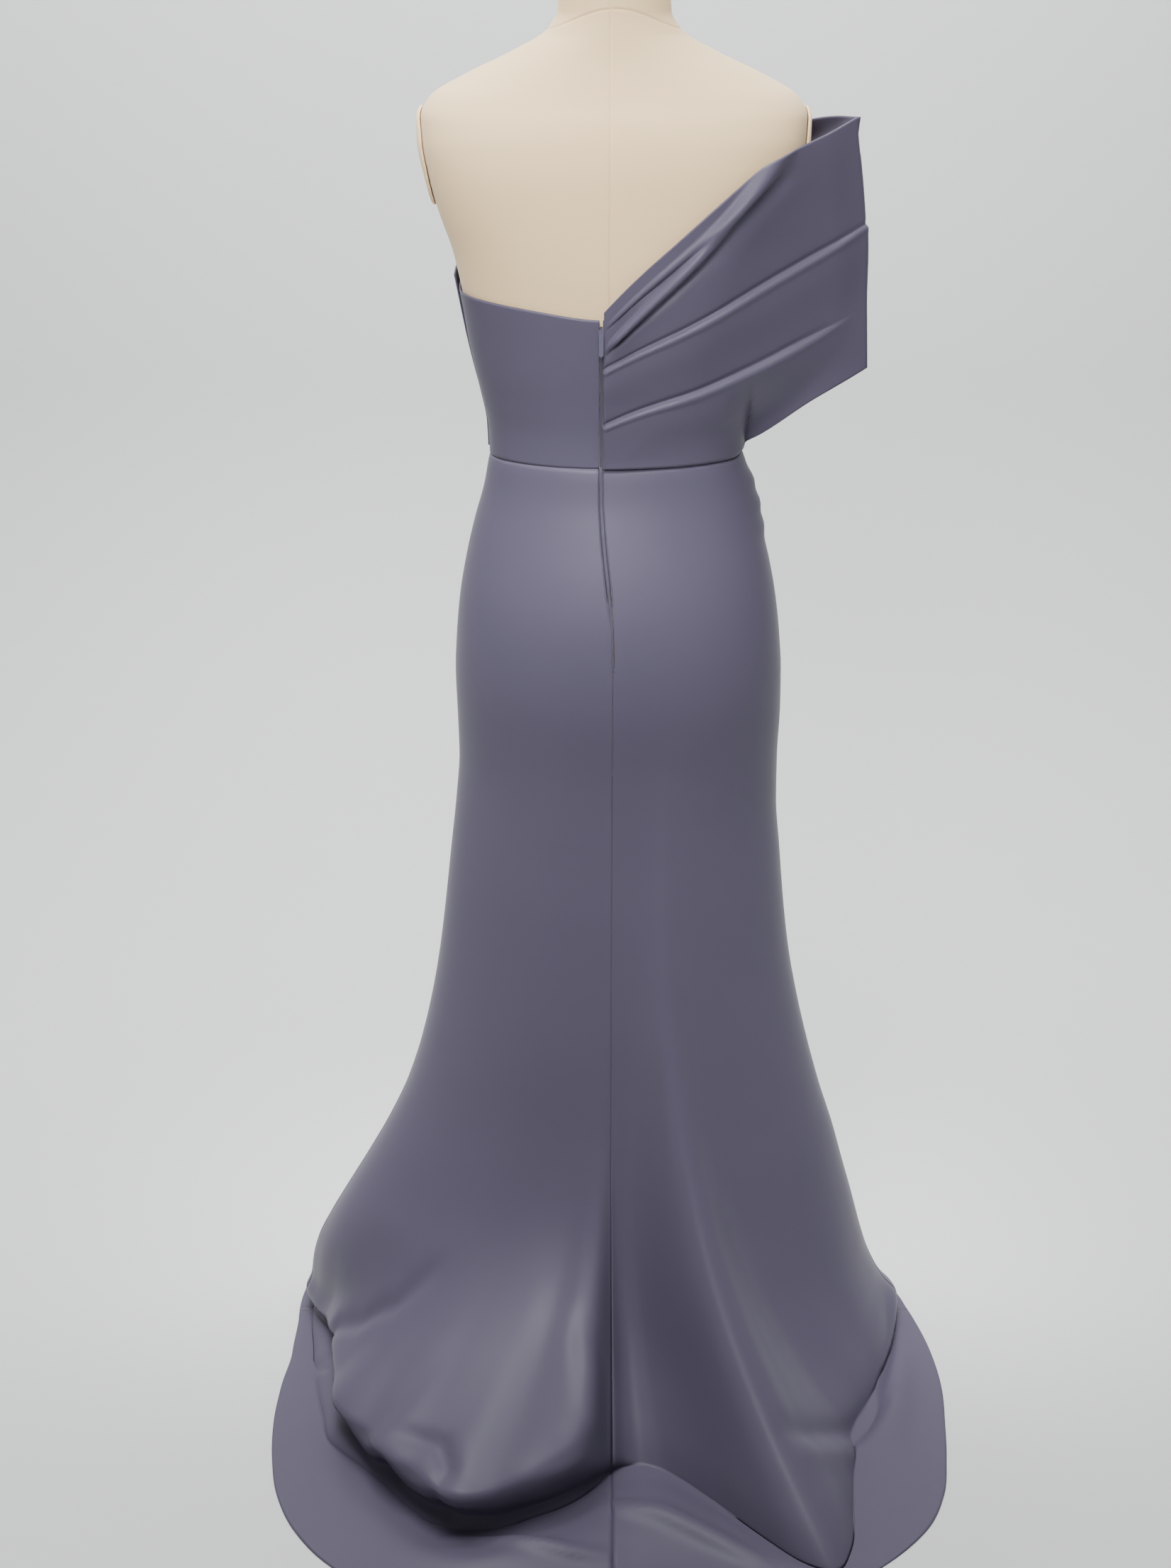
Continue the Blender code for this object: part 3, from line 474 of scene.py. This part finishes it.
def cloth_sheet(name, grid, material):
    """A sheet of cloth over a grid of its inner points (rows, columns, 3), facing outwards."""
    rows, columns = grid.shape[:2]
    index = np.arange(rows * columns).reshape(rows, columns)
    corners = (index[:-1, :-1], index[:-1, 1:], index[1:, 1:], index[1:, :-1])
    quads = np.stack(corners, axis=-1).reshape(-1, 4)
    points = grid.reshape(-1, 3)
    a, b, c = points[quads[:, 0]], points[quads[:, 1]], points[quads[:, 2]]
    centre = points[quads].mean(axis=1)
    away = centre - centre.mean(axis=0) * (0, 0, 1)
    if (np.cross(b - a, c - a) * away).sum() < 0:
        quads = quads[:, ::-1]
    piece = mesh_piece(name, points.tolist(), quads.tolist(), material)
    shell = piece.modifiers.new("thickness", "SOLIDIFY")
    shell.thickness = CLOTH
    shell.offset = 1.0
    return piece


def between(stops, count):
    """Evenly spaced values through a list of stops, with a count for each stretch."""
    values = [np.linspace(a, b, n, endpoint=False) for a, b, n in zip(stops, stops[1:], count)]
    return np.concatenate(values + [[stops[-1]]])


def edges_apart(grid, gaps):
    """Draws a panel's side edges back from their seam lines, row by row."""
    for edge, beside in ((0, 1), (-1, -2)):
        inwards = grid[:, beside] - grid[:, edge]
        inwards /= np.linalg.norm(inwards, axis=1, keepdims=True)
        grid[:, edge] += inwards * gaps[edge][:, None]
    return grid


def sewn_panel(name, grid, opening, by_zip):
    """A panel of the dress from its inner points. Its edge at the opening stands back from the zip."""
    seam = np.full(len(grid), SEAM_GAP / 2)
    gaps = {0: by_zip if opening == "start" else seam, -1: by_zip if opening == "end" else seam}
    piece = cloth_sheet(name, edges_apart(grid, gaps), dress_satin)
    stands_for(piece, name)
    return piece


# Heights of the rows of points down the hanging skirt, and shares of the train for the rest
HANG_ROWS = between((WAIST - SEAM_GAP / 2, 0.90, 0.36, 0.12, 0.0), (24, 50, 44, 44))
LIE_ROWS = between((0.0, 0.12, 1.0), (7, 34))[1:]


def skirt_panel(name, start, end, columns, opening):
    """A skirt panel between two turns."""
    turns = np.radians(np.linspace(start, end, columns))
    hang = hanging(*np.meshgrid(turns, HANG_ROWS))
    lie = lying(*np.meshgrid(turns, LIE_ROWS))
    grid = folded_low(np.concatenate((hang, lie)))
    over_end = smooth_step((grid[:, 0, 2] - ZIP_END) / ZIP_END_TALL)
    by_zip = SEAM_GAP / 2 + (ZIP_HALF - SEAM_GAP / 2) * over_end
    return sewn_panel(name, grid, opening, by_zip)


skirt_back_left = skirt_panel("skirt_back_left", 0, 90, 121, "start")
skirt_back_right = skirt_panel("skirt_back_right", -90, 0, 121, "end")
skirt_front = skirt_panel("skirt_front", 90, 270, 181, None)

# Bodice
# The fitted foundation of the same satin: one front and two backs over the dress form, with a turned
# top edge. The left back shows whole; the rest lies under the drape.
FORM_GAP = 0.0012
BUST_EASE = 0.0030
# The ease over the bust is this much taller than the bust, and starts this far round to the front
EASE_TALL, EASE_STARTS = 1.5, 0.4
NECK_BACK, NECK_SIDE, NECK_BUST = 1.166, 1.181, 1.222
NECK_BEND = 1.5
NECK_BUST_WIDE, NECK_FRONT_WIDE, NECK_FRONT_SHARE = radians(30), radians(20), 0.7
BODICE_ROWS = 60
# Sections of the form: height, half width, reach to the front and to the back, squareness
FORM = np.array((
    (0.700, 0.122, 0.078, 0.080, 2.1),
    (0.708, 0.137, 0.089, 0.092, 2.1),
    (0.722, 0.146, 0.096, 0.101, 2.1),
    (0.750, 0.152, 0.100, 0.110, 2.1),
    (0.790, 0.155, 0.103, 0.120, 2.1),
    (0.830, 0.154, 0.106, 0.124, 2.1),
    (0.870, 0.150, 0.108, 0.120, 2.1),
    (0.910, 0.143, 0.107, 0.111, 2.1),
    (0.950, 0.133, 0.103, 0.099, 2.1),
    (0.985, 0.1245, 0.098, 0.088, 2.1),
    (1.020, 0.1200, 0.094, 0.0815, 2.1),
    (1.045, 0.1210, 0.094, 0.0810, 2.1),
    (1.075, 0.1265, 0.096, 0.0835, 2.15),
    (1.105, 0.1335, 0.099, 0.0880, 2.2),
    (1.135, 0.1395, 0.102, 0.0925, 2.2),
    (1.160, 0.1435, 0.105, 0.0960, 2.25),
    (1.185, 0.1480, 0.107, 0.0990, 2.3),
    (1.220, 0.1560, 0.106, 0.1020, 2.4),
    (1.255, 0.1680, 0.102, 0.1030, 2.5),
    (1.290, 0.1775, 0.096, 0.1020, 2.6),
    (1.320, 0.1830, 0.087, 0.0970, 2.6),
    (1.342, 0.1835, 0.077, 0.0890, 2.5),
    (1.360, 0.1750, 0.068, 0.0790, 2.4),
    (1.380, 0.1420, 0.060, 0.0690, 2.2),
    (1.400, 0.0990, 0.054, 0.0600, 2.1),
    (1.420, 0.0640, 0.050, 0.0540, 2.0),
    (1.438, 0.0535, 0.048, 0.0500, 2.0),
    (1.470, 0.0520, 0.047, 0.0480, 2.0),
    (1.500, 0.0520, 0.047, 0.0480, 2.0),
))
BUST_HEIGHT, BUST_REACH = 1.180, 0.030
BUST_TURN, BUST_WIDE = radians(143), radians(18)
# The bust is this tall below its height, and taller above by this factor
BUST_TALL, BUST_ABOVE = 0.042, 1.25


def form_reach(turn, height):
    """How far the dress form reaches from its axis."""
    turn, height = np.broadcast_arrays(np.asarray(turn, float), np.asarray(height, float))
    side, front, back, square = (smooth_curve(FORM[:, 0], FORM[:, k], height) for k in (1, 2, 3, 4))
    depth = np.where(np.cos(turn) > 0, back, front)
    bust = 0.0
    for way in (1, -1):
        bust = bust + bell(turned(turn, way * BUST_TURN), BUST_WIDE)
    tall = np.where(height < BUST_HEIGHT, BUST_TALL, BUST_TALL * BUST_ABOVE)
    return oval(turn, side, depth, square) + BUST_REACH * bust * bell(height - BUST_HEIGHT, tall)


def bust_ease(height):
    """How far the foundation stands off the form at the bust."""
    return BUST_EASE * bell(height - BUST_HEIGHT, EASE_TALL * BUST_TALL)


def fitted_reach(turn, height):
    """How far the inside of the fitted foundation reaches."""
    ease = bust_ease(height) * smooth_step(-np.cos(turn) / EASE_STARTS)
    return form_reach(turn, height) + FORM_GAP + ease


def neckline(turn):
    """The height of the foundation's top edge."""
    away = np.abs(turned(turn, 0.0))
    behind = NECK_BACK + (NECK_SIDE - NECK_BACK) * np.sin(np.minimum(away, pi / 2)) ** NECK_BEND
    bust = bell(away - BUST_TURN, NECK_BUST_WIDE) + NECK_FRONT_SHARE * bell(away - pi, NECK_FRONT_WIDE)
    before = NECK_SIDE + (NECK_BUST - NECK_SIDE) * np.minimum(1.0, bust)
    return np.where(away < pi / 2, behind, before)


def bodice_panel(name, start, end, columns, opening):
    """A fitted panel between two turns, from the waist seam to the top edge."""
    turns = np.radians(np.linspace(start, end, columns))
    turn, share = np.meshgrid(turns, np.linspace(0.0, 1.0, BODICE_ROWS))
    low = WAIST + SEAM_GAP / 2
    height = low + (neckline(turn) - low) * share
    turn = lean_turn(turn, height, form_reach(turn, height))
    grid = placed(turn, fitted_reach(turn, height), height)
    return sewn_panel(name, grid, opening, np.full(len(grid), ZIP_HALF))


bodice_back_left = bodice_panel("bodice_back_left", 0, 90, 61, "start")
bodice_back_right = bodice_panel("bodice_back_right", -90, 0, 61, "end")
bodice_front = bodice_panel("bodice_front", 90, 270, 121, None)

# Shoulder drape
# One long width of the satin, pleated into the zip seam and the left side seam. It passes round the
# right arm as a stiff band with a sharp outer fold, and its pleats open upwards.
DRAPE_GAP = 0.0019
DRAPE_EASE = 0.0022
# Shares of its length behind and in front, and of its depth, over which the ease grows from a seam
SEWN_BACK, SEWN_FRONT, SEWN_LOW = 0.25, 0.2, 0.2
# The share of the foundation's ease at the bust that the drape adds
DRAPE_OVER_BUST = 0.5
DRAPE_STOPS = (0.0, 0.18, 0.36, 0.54, 0.68, 0.84, 1.0)
FRONT_STOPS = [k / 7 for k in range(8)]
TOP_EDGE, FIRST_PLEAT, SECOND_PLEAT, LOWER_EDGE = 0.0, 0.42, 0.72, 1.0
# Share of the drape's depth, then (distance to the right, height) from the zip to the outer fold
DRAPE_BACK = (
    (TOP_EDGE, ((0.0022, 1.174), (0.047, 1.225), (0.100, 1.275), (0.146, 1.310),
                (0.176, 1.321), (0.205, 1.331), (0.230, 1.341))),
    (FIRST_PLEAT, ((0.0022, 1.119), (0.040, 1.142), (0.090, 1.168), (0.140, 1.194),
                   (0.180, 1.213), (0.216, 1.229), (0.2425, 1.241))),
    (SECOND_PLEAT, ((0.0022, 1.064), (0.040, 1.082), (0.088, 1.098), (0.136, 1.116),
                    (0.176, 1.133), (0.216, 1.150), (0.247, 1.164))),
    (LOWER_EDGE, ((0.0022, 1.0206), (0.040, 1.0206), (0.082, 1.0206), (0.116, 1.0206),
                  (0.142, 1.034), (0.196, 1.074), (0.250, 1.102))),
)
# The same from the outer fold over the bust to the left side seam
DRAPE_FRONT = (
    (TOP_EDGE, ((0.230, 1.341), (0.205, 1.338), (0.176, 1.332), (0.120, 1.312),
                (0.052, 1.284), (-0.022, 1.255), (-0.094, 1.222), (-0.1465, 1.190))),
    (FIRST_PLEAT, ((0.2425, 1.241), (0.216, 1.232), (0.176, 1.219), (0.120, 1.200),
                   (0.052, 1.177), (-0.022, 1.154), (-0.092, 1.136), (-0.1390, 1.124))),
    (SECOND_PLEAT, ((0.247, 1.164), (0.216, 1.151), (0.170, 1.134), (0.116, 1.116),
                    (0.050, 1.099), (-0.022, 1.085), (-0.088, 1.075), (-0.1310, 1.069))),
    (LOWER_EDGE, ((0.250, 1.102), (0.196, 1.074), (0.142, 1.034), (0.112, 1.0206),
                  (0.050, 1.0206), (-0.022, 1.0206), (-0.085, 1.0206), (-0.1240, 1.0206))),
)
# The outer fold is rounded over NOSE and would come to a point APEX further out. Low down, the cloth
# hugs the form as far as HUG, and MOUTH is the half width of the band's opening past it.
NOSE, APEX, MOUTH, HUG = 0.034, 0.010, 0.020, 0.131
SIDE_TURN = radians(82)
# Distances to the right: the side of the form, where the low cloth still lies on it, and how far the
# lean of the centre back reaches
FORM_SIDE, ON_FORM, LEAN_REACH = 0.182, 0.11, 0.05
QUARTER = np.radians(np.arange(0, 91, 1.5))
BACK_COLUMNS = 40


def quarter_turns(forward):
    """Turns over a quarter of the form, from its centre back or front to its side."""
    return pi - QUARTER if forward else QUARTER


def body_depth(right, height, forward, gap):
    """How far out the covered form lies, behind or in front, at a distance to the right."""
    turns = quarter_turns(forward)
    way = -1 if right >= 0 else 1
    reach = fitted_reach(way * turns, height) + gap
    return float(np.interp(abs(right), np.abs(reach * np.sin(turns)), np.abs(reach * np.cos(turns))))


def taut_slope(height, fold, forward, gap):
    """The slope of the cloth from the outer fold to where it first lies on the body, and where."""
    turns = quarter_turns(forward)
    reach = fitted_reach(-turns, height) + gap
    rights, depths = np.abs(reach * np.sin(turns)), np.abs(reach * np.cos(turns))
    near = rights < FORM_SIDE
    slopes = depths[near] / (fold - rights[near])
    best = int(np.argmax(slopes))
    return float(slopes[best]), float(rights[near][best])


def drape_lines(table, stops, stop):
    """The distance to the right and the height of each line of the drape at a stop along it."""
    rights = [float(smooth_curve(stops, [p[0] for p in row[1]], stop)) for row in table]
    heights = [float(smooth_curve(stops, [p[1] for p in row[1]], stop)) for row in table]
    return rights, heights


def low_depth(right, height, fold, forward, gap):
    """How far out the drape's lower edge lies: round the form, then out to the band's fold."""
    if right >= HUG:
        return MOUTH * sin(pi * (right - HUG) / (fold - HUG + TINY))
    round_body = sqrt(max(0.0, 1 - (right / HUG) ** 2))
    tight = body_depth(0.0, height, forward, gap) * round_body
    return max(tight, body_depth(right, height, forward, gap) if right < ON_FORM else 0.0)


def drape_depth(right, height, fold, share, forward, gap):
    """How far out the drape lies, behind or in front, at a distance to the right."""
    slope, leaves = taut_slope(height, fold + APEX, forward, gap)
    if right > leaves:
        depth = slope * (fold + APEX - right)
    else:
        depth = body_depth(right, height, forward, gap)
    start = fold - NOSE
    if right > start:
        depth *= sqrt(max(0.0, 1 - min(1.0, (right - start) / NOSE) ** 2))
    loose = float(smooth_step((share - SECOND_PLEAT) / (1 - SECOND_PLEAT)))
    if loose > 0 and right > 0:
        depth += (low_depth(right, height, fold, forward, gap) - depth) * loose
    return depth


def drape_column(stop, forward, shares):
    """The inner points of one column of the drape, from its top edge down."""
    table = DRAPE_FRONT if forward else DRAPE_BACK
    stops = FRONT_STOPS if forward else DRAPE_STOPS
    depths = [row[0] for row in table]
    rights, heights = drape_lines(table, stops, stop)
    folds = drape_lines(table, stops, 0.0 if forward else 1.0)[0]
    ends = drape_lines(table, stops, 1.0)[0]
    from_seam = (1 - stop) / SEWN_FRONT if forward else stop / SEWN_BACK
    points = []
    for share in shares:
        lines = (rights, heights, folds, ends)
        right, height, fold, end = (float(smooth_curve(depths, line, share)) for line in lines)
        sewn = min(smooth_step(from_seam), smooth_step((1 - share) / SEWN_LOW))
        gap = CLOTH + THINNER + DRAPE_GAP + DRAPE_EASE * sewn
        if forward:
            gap += DRAPE_OVER_BUST * bust_ease(height)
        if forward and right < 0:
            turn = pi - SIDE_TURN * right / end
            reach = float(fitted_reach(turn, height)) + gap
            points.append((reach * sin(turn), reach * cos(turn), height))
            continue
        depth = drape_depth(right, height, fold, share, forward, gap)
        lean = 0.0 if forward else float(zip_side(height) * bell(right, LEAN_REACH))
        points.append((-right + lean, -depth if forward else depth, height))
    return points


# A pleat steps out by PLEAT_REACH over PLEAT_STEP of the drape's depth and sinks back over PLEAT_FADE.
# Its folded lip and the groove over it have a height, a place from the pleat's line and a width.
PLEAT_REACH, PLEAT_STEP, PLEAT_FADE = 0.0045, 0.014, 0.24
PLEAT_LIP = (0.0011, 0.017, 0.014)
PLEAT_GROOVE = (-0.0011, -0.006, 0.013)
# Shares of its length over which a pleat grows from the outer fold and ends at the side seam
PLEAT_GROWS, PLEAT_ENDS = 0.3, 0.12
# The first pleat has this much of its height at the fold, and the second starts this much later
FIRST_AT_FOLD, SECOND_STARTS = 0.45, 0.2
# The soft S-shaped fold and the small ridge over it, which meet at the zip: where each starts and
# ends as a share of the depth, how it bends, how wide and how high it is
SOFT_FOLDS = ((0.300, 0.020, 1.00, 0.046, 0.0068), (0.130, 0.060, 0.90, 0.026, 0.0022))
SOFT_BACK, SOFT_FRONT = 0.54, 0.9
SOFT_STARTS, SOFT_ENDS, SOFT_END_WIDE = 0.12, 1.28, 0.34
SOFT_LAST = 1.2
SOFT_NARROW = 0.45
TROUGH_AWAY, TROUGH_DEEP = 1.9, 0.55


def raised_at(share, line, shape):
    """A small ridge or groove beside a line."""
    tall, place, wide = shape
    return tall * bell(share - line - place, wide)


def pleat_relief(share, along, forward):
    """How far the pleats stand out. Each has a folded lip just below its line and a groove above."""
    from_fold = along / PLEAT_GROWS if forward else (1 - along) / PLEAT_GROWS
    ends = smooth_step((1 - along) / PLEAT_ENDS) if forward else 1.0
    out = np.zeros_like(share)
    for line, end, at_fold in (
        (FIRST_PLEAT, SECOND_PLEAT, FIRST_AT_FOLD + (1 - FIRST_AT_FOLD) * smooth_step(from_fold)),
        (SECOND_PLEAT, LOWER_EDGE, smooth_step(from_fold - SECOND_STARTS)),
    ):
        below = smooth_step((share - line) / PLEAT_STEP) * smooth_step((end - share) / PLEAT_FADE)
        beside = PLEAT_REACH * below + raised_at(share, line, PLEAT_LIP)
        out = out + at_fold * (beside + raised_at(share, line, PLEAT_GROOVE))
    way = (1 - along) / SOFT_FRONT if forward else along / SOFT_BACK
    near = smooth_step(way / SOFT_STARTS) * smooth_step((SOFT_ENDS - way) / SOFT_END_WIDE)
    for start, end, bend, wide, tall in SOFT_FOLDS:
        middle = start + (end - start) * np.clip(way, 0, SOFT_LAST) ** bend
        spread = wide * (SOFT_NARROW + (1 - SOFT_NARROW) * np.clip(way, 0, 1))
        ridge = bell(share - middle, spread)
        trough = bell(share - middle - TROUGH_AWAY * spread, spread)
        out = out + near * tall * (ridge - TROUGH_DEEP * trough)
    return out * ends


def drape_points():
    """The drape's inner points, closer together at its outer fold and at its pleats."""
    behind = np.concatenate((np.linspace(0.0, 0.86, 64), np.linspace(0.87, 0.996, 20)))
    before = np.concatenate((np.linspace(0.0, 0.10, 18), np.linspace(0.108, 1.0, 104)))
    shares = np.concatenate((between((0.0, 0.39, 0.47, 0.69, 0.77), (46, 26, 20, 26))[:-1],
                             np.linspace(0.77, 1.0, 22)))
    columns = [drape_column(stop, False, shares) for stop in behind]
    columns += [drape_column(stop, True, shares) for stop in before]
    grid = np.array(columns).transpose(1, 0, 2)
    outwards = square_to(grid)
    if outwards[:, :BACK_COLUMNS, 1].mean() < 0:
        outwards = -outwards
    back_relief = pleat_relief(*np.meshgrid(behind, shares)[::-1], False)
    front_relief = pleat_relief(*np.meshgrid(before, shares)[::-1], True)
    return grid + outwards * np.concatenate((back_relief, front_relief), axis=1)[:, :, None]


shoulder_drape = cloth_sheet("shoulder_drape", drape_points(), dress_satin)
stands_for(shoulder_drape, "shoulder_drape")

# Zip
# A closed nylon coil zip lies in the centre-back opening, dyed to match. Its small enamelled slider
# sits at the top, and the tab hangs from it.
coil_nylon = satin("nylon_coil_dyed", "#4b4957", "#413f4c")
tab_enamel = principled(
    "zinc_enamelled_matt",
    {"Base Color": hex_colour("#5f5c70"), "Roughness": 0.35, "Metallic": 0.3},
)
for name in ("zip_slider", "zip_tab"):
    give(name, tab_enamel)
give("zip_chain", coil_nylon)

# Dress form
# A professional form: a moulded torso padded and covered in cream linen, with a seam down the centre
# back and one round the base of the neck, and oval plates at the arms.
LINEN_WEAVE = (420.0, 2.0, 0.14, 0.0006)
form_linen = woven(
    "linen_stretched_woven",
    {"Roughness": 0.86, "Specular IOR Level": 0.2, "Sheen Weight": 0.15},
    ("#e8cb9f", "#e0c295"),
    (7.0, 2.0),
    (LINEN_WEAVE,),
)
# The seams are shallow grooves: where each runs, how wide and how deep it is
BACK_SEAM_SIDE = 0.004
NECK_SEAM_HIGH, NECK_SEAM_FALL = 1.441, 0.020
FORM_SEAM_WIDE, FORM_SEAM_DEEP = 0.0011, 0.0009
FORM_EDGE = radians(40)


def seamed_reach(turn, height):
    """How far the form reaches, with its two seams pressed in."""
    reach = form_reach(turn, height)
    by_back = bell(reach * turned(turn, 0.0) - BACK_SEAM_SIDE, FORM_SEAM_WIDE) * (np.cos(turn) > 0)
    neck_line = NECK_SEAM_HIGH - NECK_SEAM_FALL * np.sin(turn) ** 2
    by_neck = bell(height - neck_line, FORM_SEAM_WIDE)
    return reach - FORM_SEAM_DEEP * np.maximum(by_back, by_neck)


def torso():
    """The form's torso and neck in closed rings, closer together at the seams."""
    heights = between((0.700, 0.722, 1.30, 1.415, 1.450, 1.500), (8, 70, 26, 50, 8))
    turns = np.radians(np.concatenate((np.arange(0, 6, 0.25), np.arange(6, 360, 2.0))))
    turn, height = np.meshgrid(turns, heights)
    points = placed(turn, seamed_reach(turn, height), height)
    count = len(turns)
    faces = []
    for i in range(len(heights) - 1):
        for k in range(count):
            m = (k + 1) % count
            faces.append((i * count + m, i * count + k, (i + 1) * count + k, (i + 1) * count + m))
    faces.append(list(range(count)))
    faces.append([(len(heights) - 1) * count + k for k in range(count)][::-1])
    piece = mesh_piece("form_torso", points.reshape(-1, 3).tolist(), faces, form_linen)
    piece.data.set_sharp_from_angle(angle=FORM_EDGE)
    return piece


stands_for(torso(), "form_body")
for name in ("arm_plate_left", "arm_plate_right"):
    give(name, form_linen)

# Stand
# The parts under the skirt: an enamelled iron socket and base, a brushed steel pole, and the cap that
# closes the neck.
black_enamel = principled(
    "iron_enamelled_black",
    {"Base Color": hex_colour("#232324"), "Roughness": 0.32},
)
tube_steel = principled(
    "steel_tube_brushed",
    {"Base Color": hex_colour("#b9babd"), "Metallic": 1.0, "Roughness": 0.28},
)
for name in ("neck_cap", "form_socket", "base"):
    give(name, black_enamel)
give("pole", tube_steel)

# Studio
# A plain pale floor that curves up into a plain wall, lit by large soft panels from above.
studio = principled("studio_paint_matt", {"Base Color": hex_colour("#d5d6d7"), "Roughness": 0.9})


def clear_from_behind(material):
    """Lets a view from behind the wall through, so that it doesn't hide the front of the dress."""
    tree = material.node_tree
    side = node(tree, "ShaderNodeNewGeometry")
    clear = node(tree, "ShaderNodeBsdfTransparent")
    seen = node(tree, "ShaderNodeMixShader", {}, {"Fac": (side, "Backfacing")})
    tree.links.new(tree.nodes["Principled BSDF"].outputs[0], seen.inputs[1])
    tree.links.new(clear.outputs[0], seen.inputs[2])
    tree.links.new(seen.outputs[0], tree.nodes["Material Output"].inputs["Surface"])


clear_from_behind(studio)
FLOOR_END, WALL_BACK, WALL_TOP, HALF_WIDE = 4.5, -1.9, 4.4, 8.0
SWEEP, SWEEP_STEPS = 0.7, 12
profile = [(FLOOR_END, 0.0), (WALL_BACK + SWEEP, 0.0)]
for k in range(1, SWEEP_STEPS):
    bend = pi / 2 * k / SWEEP_STEPS
    profile.append((WALL_BACK + SWEEP - SWEEP * sin(bend), SWEEP - SWEEP * cos(bend)))
profile += [(WALL_BACK, SWEEP), (WALL_BACK, WALL_TOP)]
floor_points = [(x, y, z) for y, z in profile for x in (-HALF_WIDE, HALF_WIDE)]
floor_faces = [(2 * k, 2 * k + 2, 2 * k + 3, 2 * k + 1) for k in range(len(profile) - 1)]
mesh_piece("studio_floor", floor_points, floor_faces, studio)

# Each panel's place, what it aims at, how wide and tall it is, its watts and its spread in degrees
PANELS = {
    "panel_above": ((0.35, 0.30, 3.1), (0.0, 0.12, 0.4), 2.2, 1.3, 88, 180),
    "panel_gridded": ((0.12, 0.74, 2.35), (0.0, 0.12, 0.70), 0.9, 0.3, 1.5, 22),
    "panel_behind": ((0.3, 1.9, 2.2), (0.0, 0.0, 1.30), 1.2, 0.5, 7.5, 60),
    "panel_left": ((2.6, 1.6, 2.2), (0.0, 0.0, 0.9), 1.4, 1.4, 2, 180),
    "panel_right": ((-2.6, 1.8, 2.0), (0.0, 0.0, 0.9), 1.4, 1.4, 4, 180),
    "panel_front": ((0.2, -1.5, 3.0), (0.0, -0.2, 0.7), 2.0, 1.0, 16, 180),
    "panel_wall": ((0.0, -0.55, 3.1), (0.0, -1.9, 1.0), 4.0, 0.6, 105, 180),
}


def soft_panel(name, place, aim, wide, tall, watts, spread):
    """A soft rectangular light that the camera doesn't see."""
    data = bpy.data.lights.new(name, "AREA")
    data.shape = "RECTANGLE"
    data.size = wide
    data.size_y = tall
    data.energy = watts
    data.spread = radians(spread)
    lamp = bpy.data.objects.new(name, data)
    lamp.visible_camera = False
    lamp.location = place
    lamp.rotation_euler = (Vector(aim) - Vector(place)).to_track_quat("-Z", "Y").to_euler()
    bpy.context.scene.collection.objects.link(lamp)


for name, settings in PANELS.items():
    soft_panel(name, *settings)

world = bpy.data.worlds.new("studio_air")
bpy.context.scene.world = world
world.use_nodes = True
air = world.node_tree.nodes["Background"]
air.inputs["Color"].default_value = hex_colour("#e4e4e6")
air.inputs["Strength"].default_value = 0.20

# Camera
# The photograph's view: from behind, a little above the shoulders, looking down at 21.5 degrees.
CAMERA_PLACE = (0.027, 2.26, 1.55)
CAMERA_DOWN = 21.5
CAMERA_LENS = 52.64
CAMERA_SENSOR = 36.0
lens = bpy.data.cameras.new("camera")
lens.lens = CAMERA_LENS
lens.sensor_width = CAMERA_SENSOR
camera = bpy.data.objects.new("camera", lens)
camera.location = CAMERA_PLACE
camera.rotation_euler = (radians(90 - CAMERA_DOWN), 0.0, pi)
bpy.context.scene.collection.objects.link(camera)
bpy.context.scene.camera = camera
